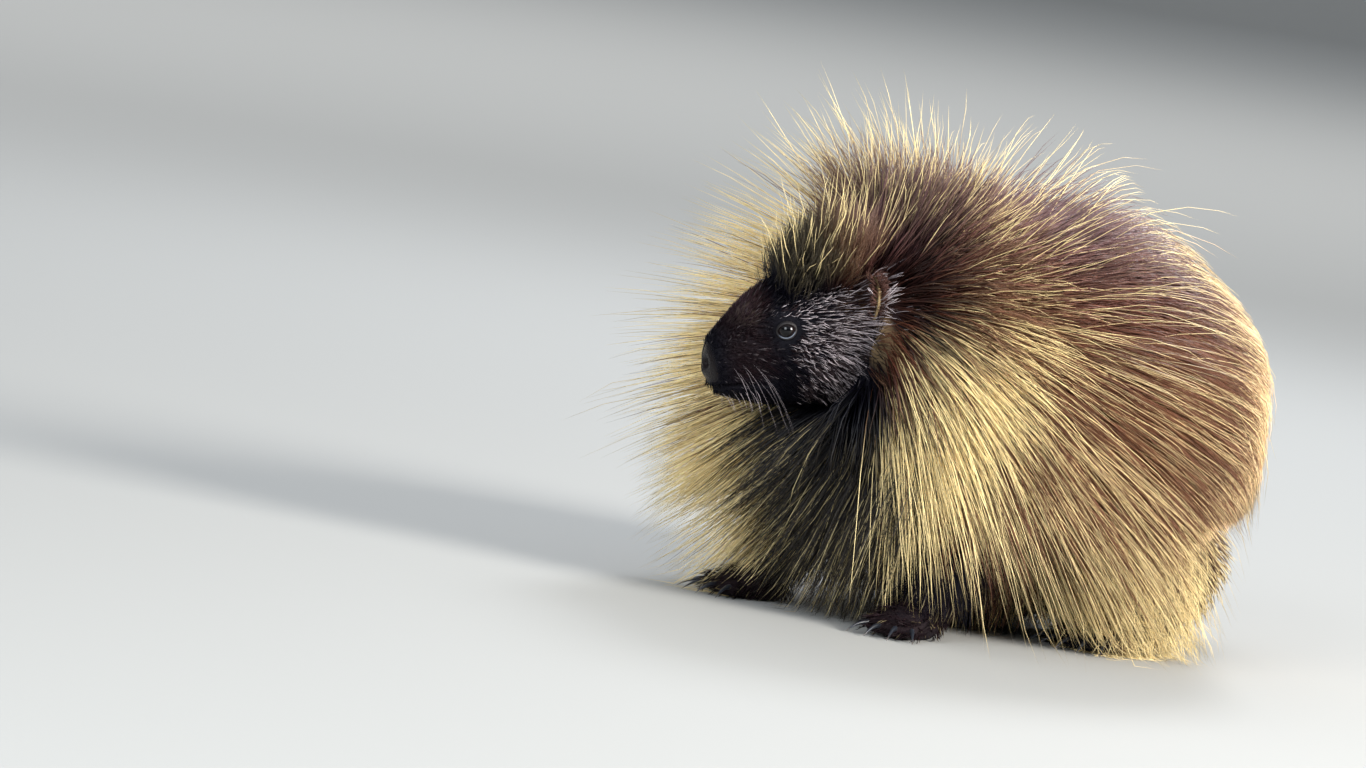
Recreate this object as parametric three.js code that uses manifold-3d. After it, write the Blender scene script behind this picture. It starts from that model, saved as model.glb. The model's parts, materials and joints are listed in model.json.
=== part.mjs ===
// A North American porcupine at life size, standing with its head turned to its right.
// Millimetres, +Z up. The animal faces -Y, its left side is +X, and it stands on z = 0.
import * as THREE from "three";
import { mergeVertices } from "three/addons/utils/BufferGeometryUtils.js";
import Module from "manifold-3d";

const wasm = await Module();
wasm.setup();
const { Manifold, Mesh } = wasm;

// Driving dimensions
const GAP = 0.35; // clearance kept between two pieces that touch
const FLOOR_CLEAR = 2; // lowest point of a hanging lock
const SHORTEST_LOCK = 18;
const SHORT_BELOW = 55; // a lock shorter than this has one section fewer
const STRAY = 0.08; // how far a lock leaves the common way
const WELD = 1e-3; // vertices closer than this are one

// How deep the dense underfur makes each part over its flesh: at its sides, its top and below
const CORE = { torso: [20, 24, 4], neck: [13, 26, 14], head: [2, 3, 2], tail: [5, 6, 0] };

// Flesh of the trunk, front to rear: centre, then half width, height above and height below it
const TORSO = [
  { at: [0, -128, 152], size: [10, 12, 12] },
  { at: [0, -112, 152], size: [52, 56, 60] },
  { at: [0, -78, 150], size: [78, 84, 88] },
  { at: [0, -30, 148], size: [94, 98, 98] },
  { at: [0, 25, 146], size: [102, 106, 100] },
  { at: [0, 80, 140], size: [99, 102, 94] },
  { at: [0, 122, 130], size: [80, 84, 80] },
  { at: [0, 148, 118], size: [46, 50, 50] },
  { at: [0, 158, 112], size: [10, 12, 12] },
];

// Flesh of the neck, from inside the head to inside the trunk
const NECK = [
  { at: [-30, -138, 186], size: [14, 14, 14] },
  { at: [-28, -124, 186], size: [40, 42, 44] },
  { at: [-15, -100, 180], size: [58, 58, 62] },
  { at: [-5, -76, 172], size: [70, 64, 70] },
  { at: [0, -52, 160], size: [58, 58, 60] },
  { at: [0, -38, 155], size: [16, 16, 16] },
];

// The head is set by the tip of its nose, its turn to the right and its pitch
const NOSE = new THREE.Vector3(-75, -206, 153);
const HEAD_TURN = THREE.MathUtils.degToRad(28);
const HEAD_PITCH = THREE.MathUtils.degToRad(22);

// Flesh of the head, nape to nose: distance behind the nose, rise of the centre, and the three sizes
const HEAD = [
  { back: 136, rise: -4, size: [8, 8, 8] },
  { back: 124, rise: -4, size: [27, 27, 27] },
  { back: 100, rise: -2, size: [38, 38, 40] },
  { back: 74, rise: -1, size: [40, 41, 43] },
  { back: 50, rise: -2, size: [34, 38, 41] },
  { back: 32, rise: -4, size: [27, 31, 35] },
  { back: 16, rise: -6, size: [21, 23, 26] },
  { back: 5, rise: -7, size: [15.5, 17, 18] },
  { back: 0, rise: -7, size: [7, 8, 8] },
];
const EYE = { back: 53, rise: 9, side: 31.5, radius: 6 };
const LID = { radius: 6.6, thick: 2.3, high: 0.8, out: 3, forward: 0.28 };
const EAR = { back: 110, rise: 15, side: 37, radii: [13, 6, 17], wall: 2.2, tilt: 0.5, lean: 0.35 };
const NOSTRIL = { back: 1.5, rise: -3, side: 5.5, radii: [2, 5, 2.6] };
const MOUTH = { rise: -19, drop: 5, corner: 36, front: 2.6, gap: 0.7, depth: 3.5, lip: 2.3 };

// Flesh of the limbs on the animal's left, top to bottom; a step moves a limb along Y
const FORELEG = [
  { at: [56, -78, 124], size: [26, 30, 30] },
  { at: [62, -90, 88], size: [27, 30, 30] },
  { at: [66, -102, 54], size: [20, 22, 22] },
  { at: [66, -110, 30], size: [16.5, 18, 18] },
  { at: [66, -114, 12], size: [12, 13, 13] },
];
const HINDLEG = [
  { at: [58, 70, 122], size: [32, 44, 42] },
  { at: [67, 58, 84], size: [29, 40, 36] },
  { at: [71, 66, 48], size: [21, 25, 25] },
  { at: [70, 74, 26], size: [16.5, 18, 18] },
  { at: [70, 76, 12], size: [12, 12, 12] },
];
const FOREFOOT = { at: [66, -126, 9], radii: [19, 27, 13], toes: 4, spread: 0.5, reach: 27, toe: 6.2 };
const HINDFOOT = { at: [71, 54, 10], radii: [20, 42, 13], toes: 5, spread: 0.55, reach: 40, toe: 6 };
const TOE = { length: 15, root: 0.62, splay: 0.06, plump: 0.85, rise: 1, drop: 0.6 };
const CLAW = { length: 19, radius: 2.5, rise: 1.2, arch: 1.6, drop: 0.5, taper: 0.8, slim: 0.8, sink: 4 };

// Where each foot has stepped along Y, and how far its toes turn out
const STANCE = {
  fore_left: { step: 8, turn: 0.42 },
  fore_right: { step: -14, turn: 0.12 },
  hind_left: { step: 0, turn: 0.2 },
  hind_right: { step: 26, turn: 0.2 },
};

// Flesh of the tail, from inside the rump, down to the floor and round to the right
const TAIL = [
  { at: [0, 124, 104], size: [26, 24, 24] },
  { at: [-1, 152, 84], size: [33, 27, 27] },
  { at: [-14, 182, 54], size: [31, 23, 25] },
  { at: [-46, 202, 29], size: [28, 19, 21] },
  { at: [-88, 206, 16.5], size: [24, 16, 17.5] },
  { at: [-126, 198, 12.5], size: [18, 13, 13.5] },
  { at: [-154, 184, 9], size: [9, 9, 9.6] },
  { at: [-162, 178, 8], size: [3, 3, 3] },
];

// Where the tail reaches the floor and turns, as a share of its length
const TAIL_SPLIT = 0.5;

// Locks of the coat. Rows run from one place to another along a part, and each row goes round it
// between two turns, in degrees from its left side over its top.
const TORSO_COAT = { rows: 10, from: 0.14, to: 0.93, turns: [-40, 220], spacing: 36, thick: 3.6 };
const CHEST_COAT = { rows: 3, from: 0.1, to: 0.36, turns: [232, 308], spacing: 28, thick: 3.2 };
const NECK_COAT = { rows: 4, from: 0.13, to: 0.5, turns: [-58, 236], spacing: 26, thick: 3.2 };
const CROWN_COAT = { rows: 4, from: 0.25, to: 0.5, turns: [34, 146], spacing: 19, thick: 3 };
const CHEEK_COAT = { rows: 3, from: 0.27, to: 0.43, turns: [-42, 16], spacing: 16, thick: 2.6 };
const TAIL_COAT = { rows: 7, from: 0.22, to: 0.92, turns: [-10, 190], spacing: 23, thick: 3 };
const FORELEG_COAT = { rows: 2, from: 0.4, to: 0.66, turns: [0, 360], spacing: 26, thick: 2.8 };
const COAT_LENGTH = {
  shoulder: 100,
  rump: 60,
  flank: 112,
  chest: 74,
  crown: 60,
  cheek: 27,
  tail: 46,
  leg: 30,
};

// The lie of the trunk's coat: its slope is how far it runs back for each step down
const FLOW = {
  slope: { shoulder: 0.35, rump: 1.9, low: 0.5, end: 0.55 },
  lift: { shoulder: 0.3, rump: 0.24, crest: 0.4 },
  droop: { flank: 0.16, back: 0.08 },
};
const BODY_Y = { shoulder: -120, crestEnd: 0, rump: 90, end: 140 };
const BODY_Z = { low: 40, high: 190 };
const SHOULDER_RUFF = { y: [40, 95], x: [10, 60] }; // where the ruff reaches on to the right shoulder

// How far a lock of each kind stands off the surface, in radians
const LIFT = { crown: 1.05, cheek: 0.32, tail: 0.4, leg: 0.3 };

// The ruff round the neck: which way it stands out and how long it is, turned as its rows are
const RUFF = [
  { turn: -58, way: [0.2, 0.2, -0.96], length: 84 },
  { turn: -25, way: [0.55, 0.1, -0.85], length: 108 },
  { turn: 15, way: [0.85, 0.35, -0.4], length: 84 },
  { turn: 55, way: [0.6, 0.3, 0.75], length: 76 },
  { turn: 90, way: [0, 0.05, 1], length: 94 },
  { turn: 115, way: [-0.45, -0.3, 0.84], length: 104 },
  { turn: 145, way: [-0.75, -0.5, 0.45], length: 116 },
  { turn: 175, way: [-0.7, -0.65, 0.05], length: 122 },
  { turn: 205, way: [-0.6, -0.7, -0.4], length: 120 },
  { turn: 236, way: [-0.45, -0.5, -0.75], length: 104 },
];

// Materials
const matt = (color, roughness) => new THREE.MeshStandardMaterial({ color, roughness, metalness: 0 });
const COAT = matt(0xb39a62, 0.7);
const MANE = matt(0xc4ad78, 0.7);
const FACE = matt(0x1b1514, 0.85);
const LIMB = matt(0x231814, 0.85);
const EYE_BLACK = matt(0x0a0d14, 0.12);
const CLAW_HORN = matt(0x1f2226, 0.4);

const vec = (xyz) => new THREE.Vector3(...xyz);
const UP = new THREE.Vector3(0, 0, 1);
const FORWARD = new THREE.Vector3(0, -1, 0);

// A seeded random number from 0 to 1
function randomFrom(seed) {
  let state = seed;
  return () => {
    state = (state * 1664525 + 1013904223) >>> 0;
    return state / 4294967296;
  };
}

// The head's own axes and a point in them
const headForward = new THREE.Vector3(
  -Math.sin(HEAD_TURN) * Math.cos(HEAD_PITCH),
  -Math.cos(HEAD_TURN) * Math.cos(HEAD_PITCH),
  -Math.sin(HEAD_PITCH),
);
const headLeft = new THREE.Vector3(Math.cos(HEAD_TURN), -Math.sin(HEAD_TURN), 0);
const headUp = headForward.clone().cross(headLeft);

function headPoint(back, rise, side) {
  return NOSE.clone()
    .addScaledVector(headForward, -back)
    .addScaledVector(headUp, rise)
    .addScaledVector(headLeft, side);
}

// A geometry's merged form, with positions only
function bare(geometry) {
  const plain = new THREE.BufferGeometry();
  plain.setAttribute("position", geometry.getAttribute("position").clone());
  plain.setIndex(geometry.getIndex());
  return mergeVertices(plain, WELD);
}

function solidOf(geometry) {
  const merged = bare(geometry);
  const vertProperties = new Float32Array(merged.attributes.position.array);
  const triVerts = new Uint32Array(merged.index.array);
  return new Manifold(new Mesh({ numProp: 3, vertProperties, triVerts }));
}

function geometryOf(solid) {
  const mesh = solid.getMesh();
  const geometry = new THREE.BufferGeometry();
  geometry.setAttribute("position", new THREE.BufferAttribute(mesh.vertProperties, 3));
  geometry.setIndex(new THREE.BufferAttribute(mesh.triVerts, 1));
  geometry.computeVertexNormals();
  return geometry;
}

// The same closed shape with each vertex moved out along its normal
function grown(geometry, by = GAP) {
  const merged = bare(geometry);
  merged.computeVertexNormals();
  const { position, normal } = merged.attributes;
  for (let i = 0; i < position.count; i++) {
    position.setXYZ(
      i,
      position.getX(i) + by * normal.getX(i),
      position.getY(i) + by * normal.getY(i),
      position.getZ(i) + by * normal.getZ(i),
    );
  }
  return merged;
}

// A closed skin over rings of points, with a pole at each end
function skinOver(rings, first, last) {
  const sides = rings[0].length;
  const points = [first, ...rings.flat(), last];
  const end = points.length - 1;
  const at = (ring, side) => 1 + ring * sides + (side % sides);
  const index = [];
  for (let side = 0; side < sides; side++) {
    index.push(0, at(0, side + 1), at(0, side));
    index.push(end, at(rings.length - 1, side), at(rings.length - 1, side + 1));
    for (let ring = 0; ring + 1 < rings.length; ring++) {
      index.push(at(ring, side), at(ring, side + 1), at(ring + 1, side));
      index.push(at(ring, side + 1), at(ring + 1, side + 1), at(ring + 1, side));
    }
  }
  const geometry = new THREE.BufferGeometry();
  const numbers = points.flatMap((p) => [p.x, p.y, p.z]);
  geometry.setAttribute("position", new THREE.Float32BufferAttribute(numbers, 3));
  geometry.setIndex(index);
  return facingOut(geometry);
}

// Turns the faces round where they point inwards
function facingOut(geometry) {
  const position = geometry.getAttribute("position");
  const index = geometry.getIndex();
  const corner = [0, 1, 2].map(() => new THREE.Vector3());
  let volume = 0;
  for (let i = 0; i < index.count; i += 3) {
    corner.forEach((c, k) => c.fromBufferAttribute(position, index.getX(i + k)));
    volume += corner[0].dot(corner[1].clone().cross(corner[2]));
  }
  if (volume < 0) {
    for (let i = 0; i < index.count; i += 3) {
      const kept = index.getX(i);
      index.setX(i, index.getX(i + 1));
      index.setX(i + 1, kept);
    }
  }
  return geometry;
}

// A limb or trunk: smooth curves through its stations, with an oval section square to its line.
// The top of each section faces towards ref, and core adds depth to the width, top and bottom.
function loft(stations, ref, { rings = 12, sides = 16, core = [0, 0, 0], square = 2 } = {}) {
  const line = new THREE.CatmullRomCurve3(stations.map((s) => vec(s.at)));
  const sizes = new THREE.CatmullRomCurve3(stations.map((s) => vec(s.size).add(vec(core))));
  const along = Array.from({ length: rings }, (_, i) => i / (rings - 1));

  function frame(t) {
    const centre = line.getPoint(t);
    const ahead = line.getPoint(Math.min(1, t + 0.01)).sub(line.getPoint(Math.max(0, t - 0.01))).normalize();
    const top = ref.clone().addScaledVector(ahead, -ref.dot(ahead)).normalize();
    const side = ahead.clone().cross(top);
    return { centre, ahead, top, side, size: sizes.getPoint(t) };
  }

  function point(t, turn) {
    const { centre, top, side, size } = frame(t);
    const power = (x) => Math.sign(x) * Math.abs(x) ** (2 / square);
    const high = Math.sin(turn) > 0 ? size.y : size.z;
    centre.addScaledVector(side, size.x * power(Math.cos(turn)));
    return centre.addScaledVector(top, high * power(Math.sin(turn)));
  }

  function normal(t, turn) {
    const step = 0.02;
    const round = point(t, turn + step).sub(point(t, turn - step));
    const length = point(Math.min(1, t + step), turn).sub(point(Math.max(0, t - step), turn));
    const out = round.cross(length).normalize();
    return out.dot(point(t, turn).sub(frame(t).centre)) < 0 ? out.negate() : out;
  }

  const ringPoints = along.map((t) =>
    Array.from({ length: sides }, (_, k) => point(t, (2 * Math.PI * k) / sides)),
  );
  const start = frame(0);
  const stop = frame(1);
  const first = start.centre.clone().addScaledVector(start.ahead, -0.5 * start.size.x);
  const last = stop.centre.clone().addScaledVector(stop.ahead, 0.5 * stop.size.x);
  return { point, normal, frame, geometry: skinOver(ringPoints, first, last) };
}

// An ellipsoid with its own axes: a basis of three vectors and a centre
function ellipsoid(centre, radii, basis, detail = [14, 10]) {
  const geometry = new THREE.SphereGeometry(1, ...detail);
  const turn = new THREE.Matrix4().makeBasis(...basis);
  geometry.scale(...radii).applyMatrix4(turn).translate(centre.x, centre.y, centre.z);
  return geometry;
}

// A flat, tapered lock along a bending line, its root sunk in what it grows from.
// Each entry gives how far along it a section lies and how wide and thick it is there.
const LONG_LOCK = [
  { along: 0.32, wide: 1, thick: 1 },
  { along: 0.72, wide: 0.66, thick: 0.7 },
];
const SHORT_LOCK = [{ along: 0.45, wide: 1, thick: 1 }];
const LOCK_ROOT = { wide: 0.42, sink: 0.4, pole: 0.5 };
const RIDGE = 0.6; // share of a lock's thickness over its middle
const SPARE = { side: 8, top: 2.5, tip: 6 }; // how many times over a grown lock is larger

function lockPath({ root, way, length, droop }) {
  return (share) =>
    root.clone().addScaledVector(way, length * share).addScaledVector(UP, -droop * length * share * share);
}

// A lock that lies is flat to the skin, and one that stands up is flat across the body.
// Its section is a low triangle, flat underneath. Grown, it holds the plain lock with room to spare.
function lock(spec, grow = 0) {
  const { root, way, out, ahead, length, width, thick, sink } = spec;
  const path = lockPath(spec);
  const erect = Math.abs(way.dot(out)) ** 2;
  const flatTo = out.clone().multiplyScalar(1 - erect).addScaledVector(ahead, erect);
  const across = way.clone().cross(flatTo).normalize();
  const section = (centre, heading, wide, deep) => {
    const facing = across.clone().cross(heading).normalize();
    const halfWidth = wide + SPARE.side * grow;
    const under = centre.clone().addScaledVector(facing, (RIDGE - 1) * deep - grow);
    return [
      under.clone().addScaledVector(across, halfWidth),
      centre.clone().addScaledVector(facing, RIDGE * deep + SPARE.top * grow),
      under.addScaledVector(across, -halfWidth),
    ];
  };
  const headingAt = (share) => path(share + 0.05).sub(path(share - 0.05)).normalize();
  const start = root.clone().addScaledVector(out, -sink).addScaledVector(way, -LOCK_ROOT.sink * sink);
  const rings = [section(start, headingAt(0), LOCK_ROOT.wide * width, thick)];
  for (const { along, wide, thick: deep } of length > SHORT_BELOW ? LONG_LOCK : SHORT_LOCK) {
    rings.push(section(path(along), headingAt(along), 0.5 * width * wide, thick * deep));
  }
  const tip = path(1 + (SPARE.tip * grow) / length);
  return skinOver(rings, start.clone().addScaledVector(headingAt(0), -LOCK_ROOT.pole - grow), tip);
}

// Shortens a lock until its tip clears the floor
function clearOfFloor(spec) {
  const made = { ...spec };
  while (lockPath(made)(1).z < FLOOR_CLEAR && made.length > SHORTEST_LOCK) made.length *= 0.95;
  return made;
}

// Flesh
const torso = loft(TORSO, UP, { rings: 13, sides: 18, core: CORE.torso, square: 2.1 });
const neck = loft(NECK, UP, { rings: 7, sides: 18, core: CORE.neck });
const headStations = HEAD.map(({ back, rise, size }) => ({ at: headPoint(back, rise, 0).toArray(), size }));
const head = loft(headStations, headUp, { rings: 13, sides: 16, core: CORE.head, square: 2.15 });
const tail = loft(TAIL, UP, { rings: 11, sides: 12, core: CORE.tail });

// Sides of the body: +1 is the animal's left
const SIDES = [
  { name: "left", sign: 1 },
  { name: "right", sign: -1 },
];

function mirrored(stations, sign, step) {
  return stations.map(({ at: [x, y, z], size }) => ({ at: [x * sign, y + step, z], size }));
}

// The room above a height: at the floor it leaves small flats under the feet and the tail
const ROOM = 1200;
const room = () => new THREE.BoxGeometry(ROOM, ROOM, ROOM);
const roomAbove = (height) => solidOf(room().translate(0, 0, height + ROOM / 2));
const aboveFloor = roomAbove(0);
const clearRoom = roomAbove(FLOOR_CLEAR);

// A foot: its sole, its toes and the lines that its claws follow
function foot({ at, radii, toes, spread, reach, toe }, sign, { step, turn }) {
  const centre = new THREE.Vector3(at[0] * sign, at[1] + step, at[2]);
  const toeward = FORWARD.clone().applyAxisAngle(UP, turn * sign);
  const basis = [UP.clone().cross(toeward), toeward.clone().negate(), UP];
  const pieces = [ellipsoid(centre, radii, basis, [10, 7])];
  const claws = [];
  for (let i = 0; i < toes; i++) {
    const angle = spread * ((2 * i) / (toes - 1) - 1);
    const way = toeward.clone().applyAxisAngle(UP, angle);
    const base = centre.clone().addScaledVector(way, reach * (TOE.root - TOE.splay * Math.abs(angle)));
    base.z = toe + TOE.rise;
    const tip = base.clone().addScaledVector(way, TOE.length);
    tip.z = toe - TOE.drop;
    const middle = base.clone().add(tip).multiplyScalar(0.5);
    const toeBasis = [way.clone().cross(UP).negate(), way.clone().negate(), UP];
    pieces.push(ellipsoid(middle, [toe, TOE.length * TOE.plump, toe], toeBasis, [6, 5]));
    claws.push({ root: tip.clone().addScaledVector(way, -CLAW.sink), way });
  }
  return { pieces, claws };
}

// A claw: a tapered horn that runs forward, arches and comes down to the floor
const CLAW_STEPS = [0, 0.25, 0.5, 0.75];
const CLAW_SIDES = 4;

function claw({ root, way }) {
  const side = way.clone().cross(UP);
  const length = CLAW.length + CLAW.sink;
  const at = (t) => {
    const p = root.clone().addScaledVector(way, length * t);
    p.z = THREE.MathUtils.lerp(root.z + CLAW.rise, CLAW.drop, t * t) + CLAW.arch * Math.sin(Math.PI * t);
    return p;
  };
  const rings = CLAW_STEPS.map((t) => {
    const radius = CLAW.radius * (1 - CLAW.taper * t);
    return Array.from({ length: CLAW_SIDES }, (_, k) => {
      const turn = (2 * Math.PI * k) / CLAW_SIDES;
      return at(t)
        .addScaledVector(side, CLAW.slim * radius * Math.cos(turn))
        .addScaledVector(UP, radius * Math.sin(turn));
    });
  });
  return skinOver(rings, at(-0.04), at(1));
}

// Head details
const eyePoint = (sign) => headPoint(EYE.back, EYE.rise, sign * EYE.side);
const headBasis = [headLeft, headForward.clone().negate(), headUp];

function eyeball(sign) {
  const { radius } = EYE;
  return ellipsoid(eyePoint(sign), [radius, radius, radius], headBasis, [12, 7]);
}

// The lids: an almond ring of flesh round the eye, set on the side of the head
function lids(sign) {
  const ring = new THREE.TorusGeometry(LID.radius, LID.thick, 4, 12);
  ring.scale(1, LID.high, 1);
  const facing = headLeft.clone().multiplyScalar(sign).addScaledVector(headForward, LID.forward).normalize();
  const along = headUp.clone().cross(facing).normalize();
  ring.applyMatrix4(new THREE.Matrix4().makeBasis(along, facing.clone().cross(along), facing));
  const centre = eyePoint(sign).addScaledVector(facing, LID.out);
  return ring.translate(centre.x, centre.y, centre.z);
}

// An ear: a round cup that opens forwards and outwards
function ear(sign) {
  const { radii, wall, tilt, lean } = EAR;
  const centre = headPoint(EAR.back, EAR.rise, sign * EAR.side);
  const upright = headUp.clone().addScaledVector(headLeft, sign * tilt).addScaledVector(headForward, -lean);
  upright.normalize();
  const across = upright.clone().cross(headForward).normalize();
  const facing = across.clone().cross(upright).normalize();
  const basis = [across, facing.clone().negate(), upright];
  const shell = ellipsoid(centre, radii, basis, [14, 8]);
  const facingOutwards = facing.addScaledVector(headLeft, lean * sign).normalize();
  const hollow = ellipsoid(
    centre.clone().addScaledVector(facingOutwards, radii[1] * 0.9),
    [radii[0] - wall, radii[1], radii[2] - wall],
    basis,
    [12, 7],
  );
  return { shell, hollow };
}

// The half width of the head at a distance behind the nose and a rise
function headSide(back, rise) {
  let best = null;
  for (let t = 0.4; t <= 1; t += 0.004) {
    const { centre, size } = head.frame(t);
    const off = centre.clone().sub(NOSE);
    const miss = Math.abs(-off.dot(headForward) - back);
    if (!best || miss < best.miss) best = { miss, size, middle: off.dot(headUp) };
  }
  const share = Math.min(1, Math.abs(rise - best.middle) / best.size.z);
  return best.size.x * Math.sqrt(1 - share * share);
}

// The line of the mouth, from one corner round the front to the other, with lips above and below it
const MOUTH_BACKS = [36, 28, 20, 13, 8, 5, 3.4];

function mouthLine(rise) {
  const half = MOUTH_BACKS.map((back) => {
    const height = rise - MOUTH.drop * (back / MOUTH.corner) ** 2;
    return headPoint(back, height, headSide(back, height));
  });
  const front = headPoint(MOUTH.front, rise, 0);
  const other = half.map((p) => p.clone().addScaledVector(headLeft, -2 * p.clone().sub(NOSE).dot(headLeft)));
  return new THREE.CatmullRomCurve3([...half, front, ...other.reverse()]);
}

// A closed band of oval section along the line of the mouth
const MOUTH_STEPS = 8;

function alongMouth(rise, deep, high, sides) {
  const line = mouthLine(rise);
  const inside = headPoint(MOUTH.corner, rise, 0);
  const rings = Array.from({ length: MOUTH_STEPS + 1 }, (_, i) => {
    const centre = line.getPoint(i / MOUTH_STEPS);
    const out = centre.clone().sub(inside).projectOnPlane(headUp).normalize();
    return Array.from({ length: sides }, (_, k) => {
      const turn = (2 * Math.PI * (k + 0.5)) / sides;
      const middle = centre.clone().addScaledVector(out, deep * Math.cos(turn));
      return middle.addScaledVector(headUp, high * Math.sin(turn));
    });
  });
  const ends = [0, 1].map((t) => line.getPoint(t).addScaledVector(headForward, -high));
  return skinOver(rings, ends[0], ends[1]);
}

// Roots of locks in rows along a part, each row set half a space round from the one before
const ARC_STEPS = 20;

function rootsOn(body, { rows, from, to, turns, spacing }) {
  const [low, high] = turns.map(THREE.MathUtils.degToRad);
  const span = high - low;
  return Array.from({ length: rows }, (_, row) => {
    const t = from + ((to - from) * row) / (rows - 1);
    const turnAt = (k) => low + (span * k) / ARC_STEPS;
    const onRow = Array.from({ length: ARC_STEPS + 1 }, (_, k) => body.point(t, turnAt(k)));
    const arc = onRow.slice(1).reduce((sum, p, k) => sum + p.distanceTo(onRow[k]), 0);
    const count = Math.max(2, Math.round(arc / spacing));
    return Array.from({ length: count }, (_, k) => {
      const turn = low + (span * (k + (row % 2 ? 0.75 : 0.25))) / count;
      return { t, turn, root: body.point(t, turn), out: body.normal(t, turn), ahead: body.frame(t).ahead };
    });
  }).flat();
}

const { clamp, lerp, smoothstep } = THREE.MathUtils;

// A way laid along the surface and then lifted off it by an angle
function lifted(way, out, lift) {
  const lie = way.clone().projectOnPlane(out).normalize();
  return lie.multiplyScalar(Math.cos(lift)).addScaledVector(out, Math.sin(lift));
}

// One lock at a root, with small seeded differences
function lockAt({ root, out, ahead }, way, { length, width, thick, droop = 0, sink = 8 }, random) {
  const vary = (share) => 1 + share * (2 * random() - 1);
  const stray = new THREE.Vector3(random() - 0.5, random() - 0.5, random() - 0.5);
  return clearOfFloor({
    root,
    out,
    ahead,
    sink,
    way: way.clone().addScaledVector(stray, STRAY).normalize(),
    length: length * vary(0.1),
    width: width * vary(0.05),
    thick,
    droop,
  });
}

// The way and length of the ruff at a turn round the neck
function ruffAt(turn) {
  const degrees = THREE.MathUtils.radToDeg(turn);
  const next = RUFF.findIndex((one, i) => i > 0 && (degrees <= one.turn || i === RUFF.length - 1));
  const [a, b] = [RUFF[next - 1], RUFF[next]];
  const share = clamp((degrees - a.turn) / (b.turn - a.turn), 0, 1);
  return { way: vec(a.way).lerp(vec(b.way), share).normalize(), length: lerp(a.length, b.length, share) };
}

// The trunk: back along the spine and down the flanks, with the ruff on its right shoulder
function torsoCoat() {
  const random = randomFrom(11);
  return rootsOn(torso, TORSO_COAT).map((place) => {
    const { root, out, turn } = place;
    const { slope, lift, droop } = FLOW;
    const top = clamp(out.z, 0, 1);
    const low = 1 - clamp((root.z - BODY_Z.low) / (BODY_Z.high - BODY_Z.low), 0, 1);
    const rear = smoothstep(root.y, BODY_Y.shoulder, BODY_Y.rump);
    const end = smoothstep(root.y, BODY_Y.rump, BODY_Y.end);
    const crest = top * (1 - smoothstep(root.y, BODY_Y.shoulder, BODY_Y.crestEnd));
    const back = lerp(slope.shoulder, slope.rump, rear) * lerp(1, slope.low, low) * lerp(1, slope.end, end);
    const rise = lerp(lift.shoulder, lift.rump, rear) + lift.crest * crest;
    const flowing = lifted(new THREE.Vector3(0, back, -1), out, rise);
    const ruff = smoothstep(-root.y, ...SHOULDER_RUFF.y) * smoothstep(-root.x, ...SHOULDER_RUFF.x);
    const short = smoothstep(root.y, BODY_Y.crestEnd, BODY_Y.end);
    const long = lerp(COAT_LENGTH.shoulder, COAT_LENGTH.rump, short);
    return lockAt(place, flowing.lerp(ruffAt(turn).way, ruff).normalize(), {
      length: lerp(long, COAT_LENGTH.flank, low * (1 - short)),
      width: TORSO_COAT.spacing,
      thick: TORSO_COAT.thick,
      droop: droop.flank * (1 - top) + droop.back * top * rear,
    }, random);
  });
}

// The chest and the belly between the legs: hanging straight down
function chestCoat() {
  const random = randomFrom(17);
  return rootsOn(torso, CHEST_COAT).map((place) =>
    lockAt(place, new THREE.Vector3(0, 0.15, -1), {
      length: COAT_LENGTH.chest,
      width: CHEST_COAT.spacing,
      thick: CHEST_COAT.thick,
    }, random),
  );
}

// The nape and ruff: out and up over the shoulders, forward on the right, back on the left
function neckCoat() {
  const random = randomFrom(23);
  return rootsOn(neck, NECK_COAT).map((place) => {
    const { way, length } = ruffAt(place.turn);
    return lockAt(place, way, {
      length,
      width: NECK_COAT.spacing * 0.9,
      thick: NECK_COAT.thick,
      droop: 0.06,
      sink: 10,
    }, random);
  });
}

// The crown: erect, fanning up and out
function crownCoat() {
  const random = randomFrom(37);
  const behind = headForward.clone().negate();
  return rootsOn(head, CROWN_COAT).map((place) =>
    lockAt(place, lifted(behind, place.out, LIFT.crown), {
      length: COAT_LENGTH.crown,
      width: CROWN_COAT.spacing * 0.85,
      thick: CROWN_COAT.thick,
      sink: 6,
    }, random),
  );
}

// The cheeks: short tufts swept back and down
function cheekCoat() {
  const random = randomFrom(41);
  const behind = headForward.clone().negate().addScaledVector(headUp, -0.55);
  const farSide = { ...CHEEK_COAT, turns: CHEEK_COAT.turns.map((turn) => 180 - turn).reverse() };
  return [CHEEK_COAT, farSide].flatMap((rows) => rootsOn(head, rows)).map((place) =>
    lockAt(place, lifted(behind, place.out, LIFT.cheek), {
      length: COAT_LENGTH.cheek,
      width: CHEEK_COAT.spacing * 0.8,
      thick: CHEEK_COAT.thick,
      sink: 4,
    }, random),
  );
}

// The tail: stiff bristles swept towards its tip
function tailCoat() {
  const random = randomFrom(53);
  return rootsOn(tail, TAIL_COAT).map((place) => ({
    t: place.t,
    ...lockAt(place, lifted(place.ahead, place.out, LIFT.tail), {
      length: COAT_LENGTH.tail * lerp(1, 0.75, place.t),
      width: TAIL_COAT.spacing,
      thick: TAIL_COAT.thick,
      droop: 0.05,
      sink: 5,
    }, random),
  }));
}

// The upper foreleg: short fringes hanging down and back
function forelegCoat(leg, seed) {
  const random = randomFrom(seed);
  return rootsOn(leg, FORELEG_COAT).map((place) =>
    lockAt(place, lifted(new THREE.Vector3(0, 0.35, -1), place.out, LIFT.leg), {
      length: COAT_LENGTH.leg,
      width: FORELEG_COAT.spacing * 0.85,
      thick: FORELEG_COAT.thick,
      sink: 4,
    }, random),
  );
}

const joined = (geometries) => Manifold.union(geometries.map(solidOf));

// Parts in order of right of way: each is cut clear of the flesh of those before it
const parts = [];

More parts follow.
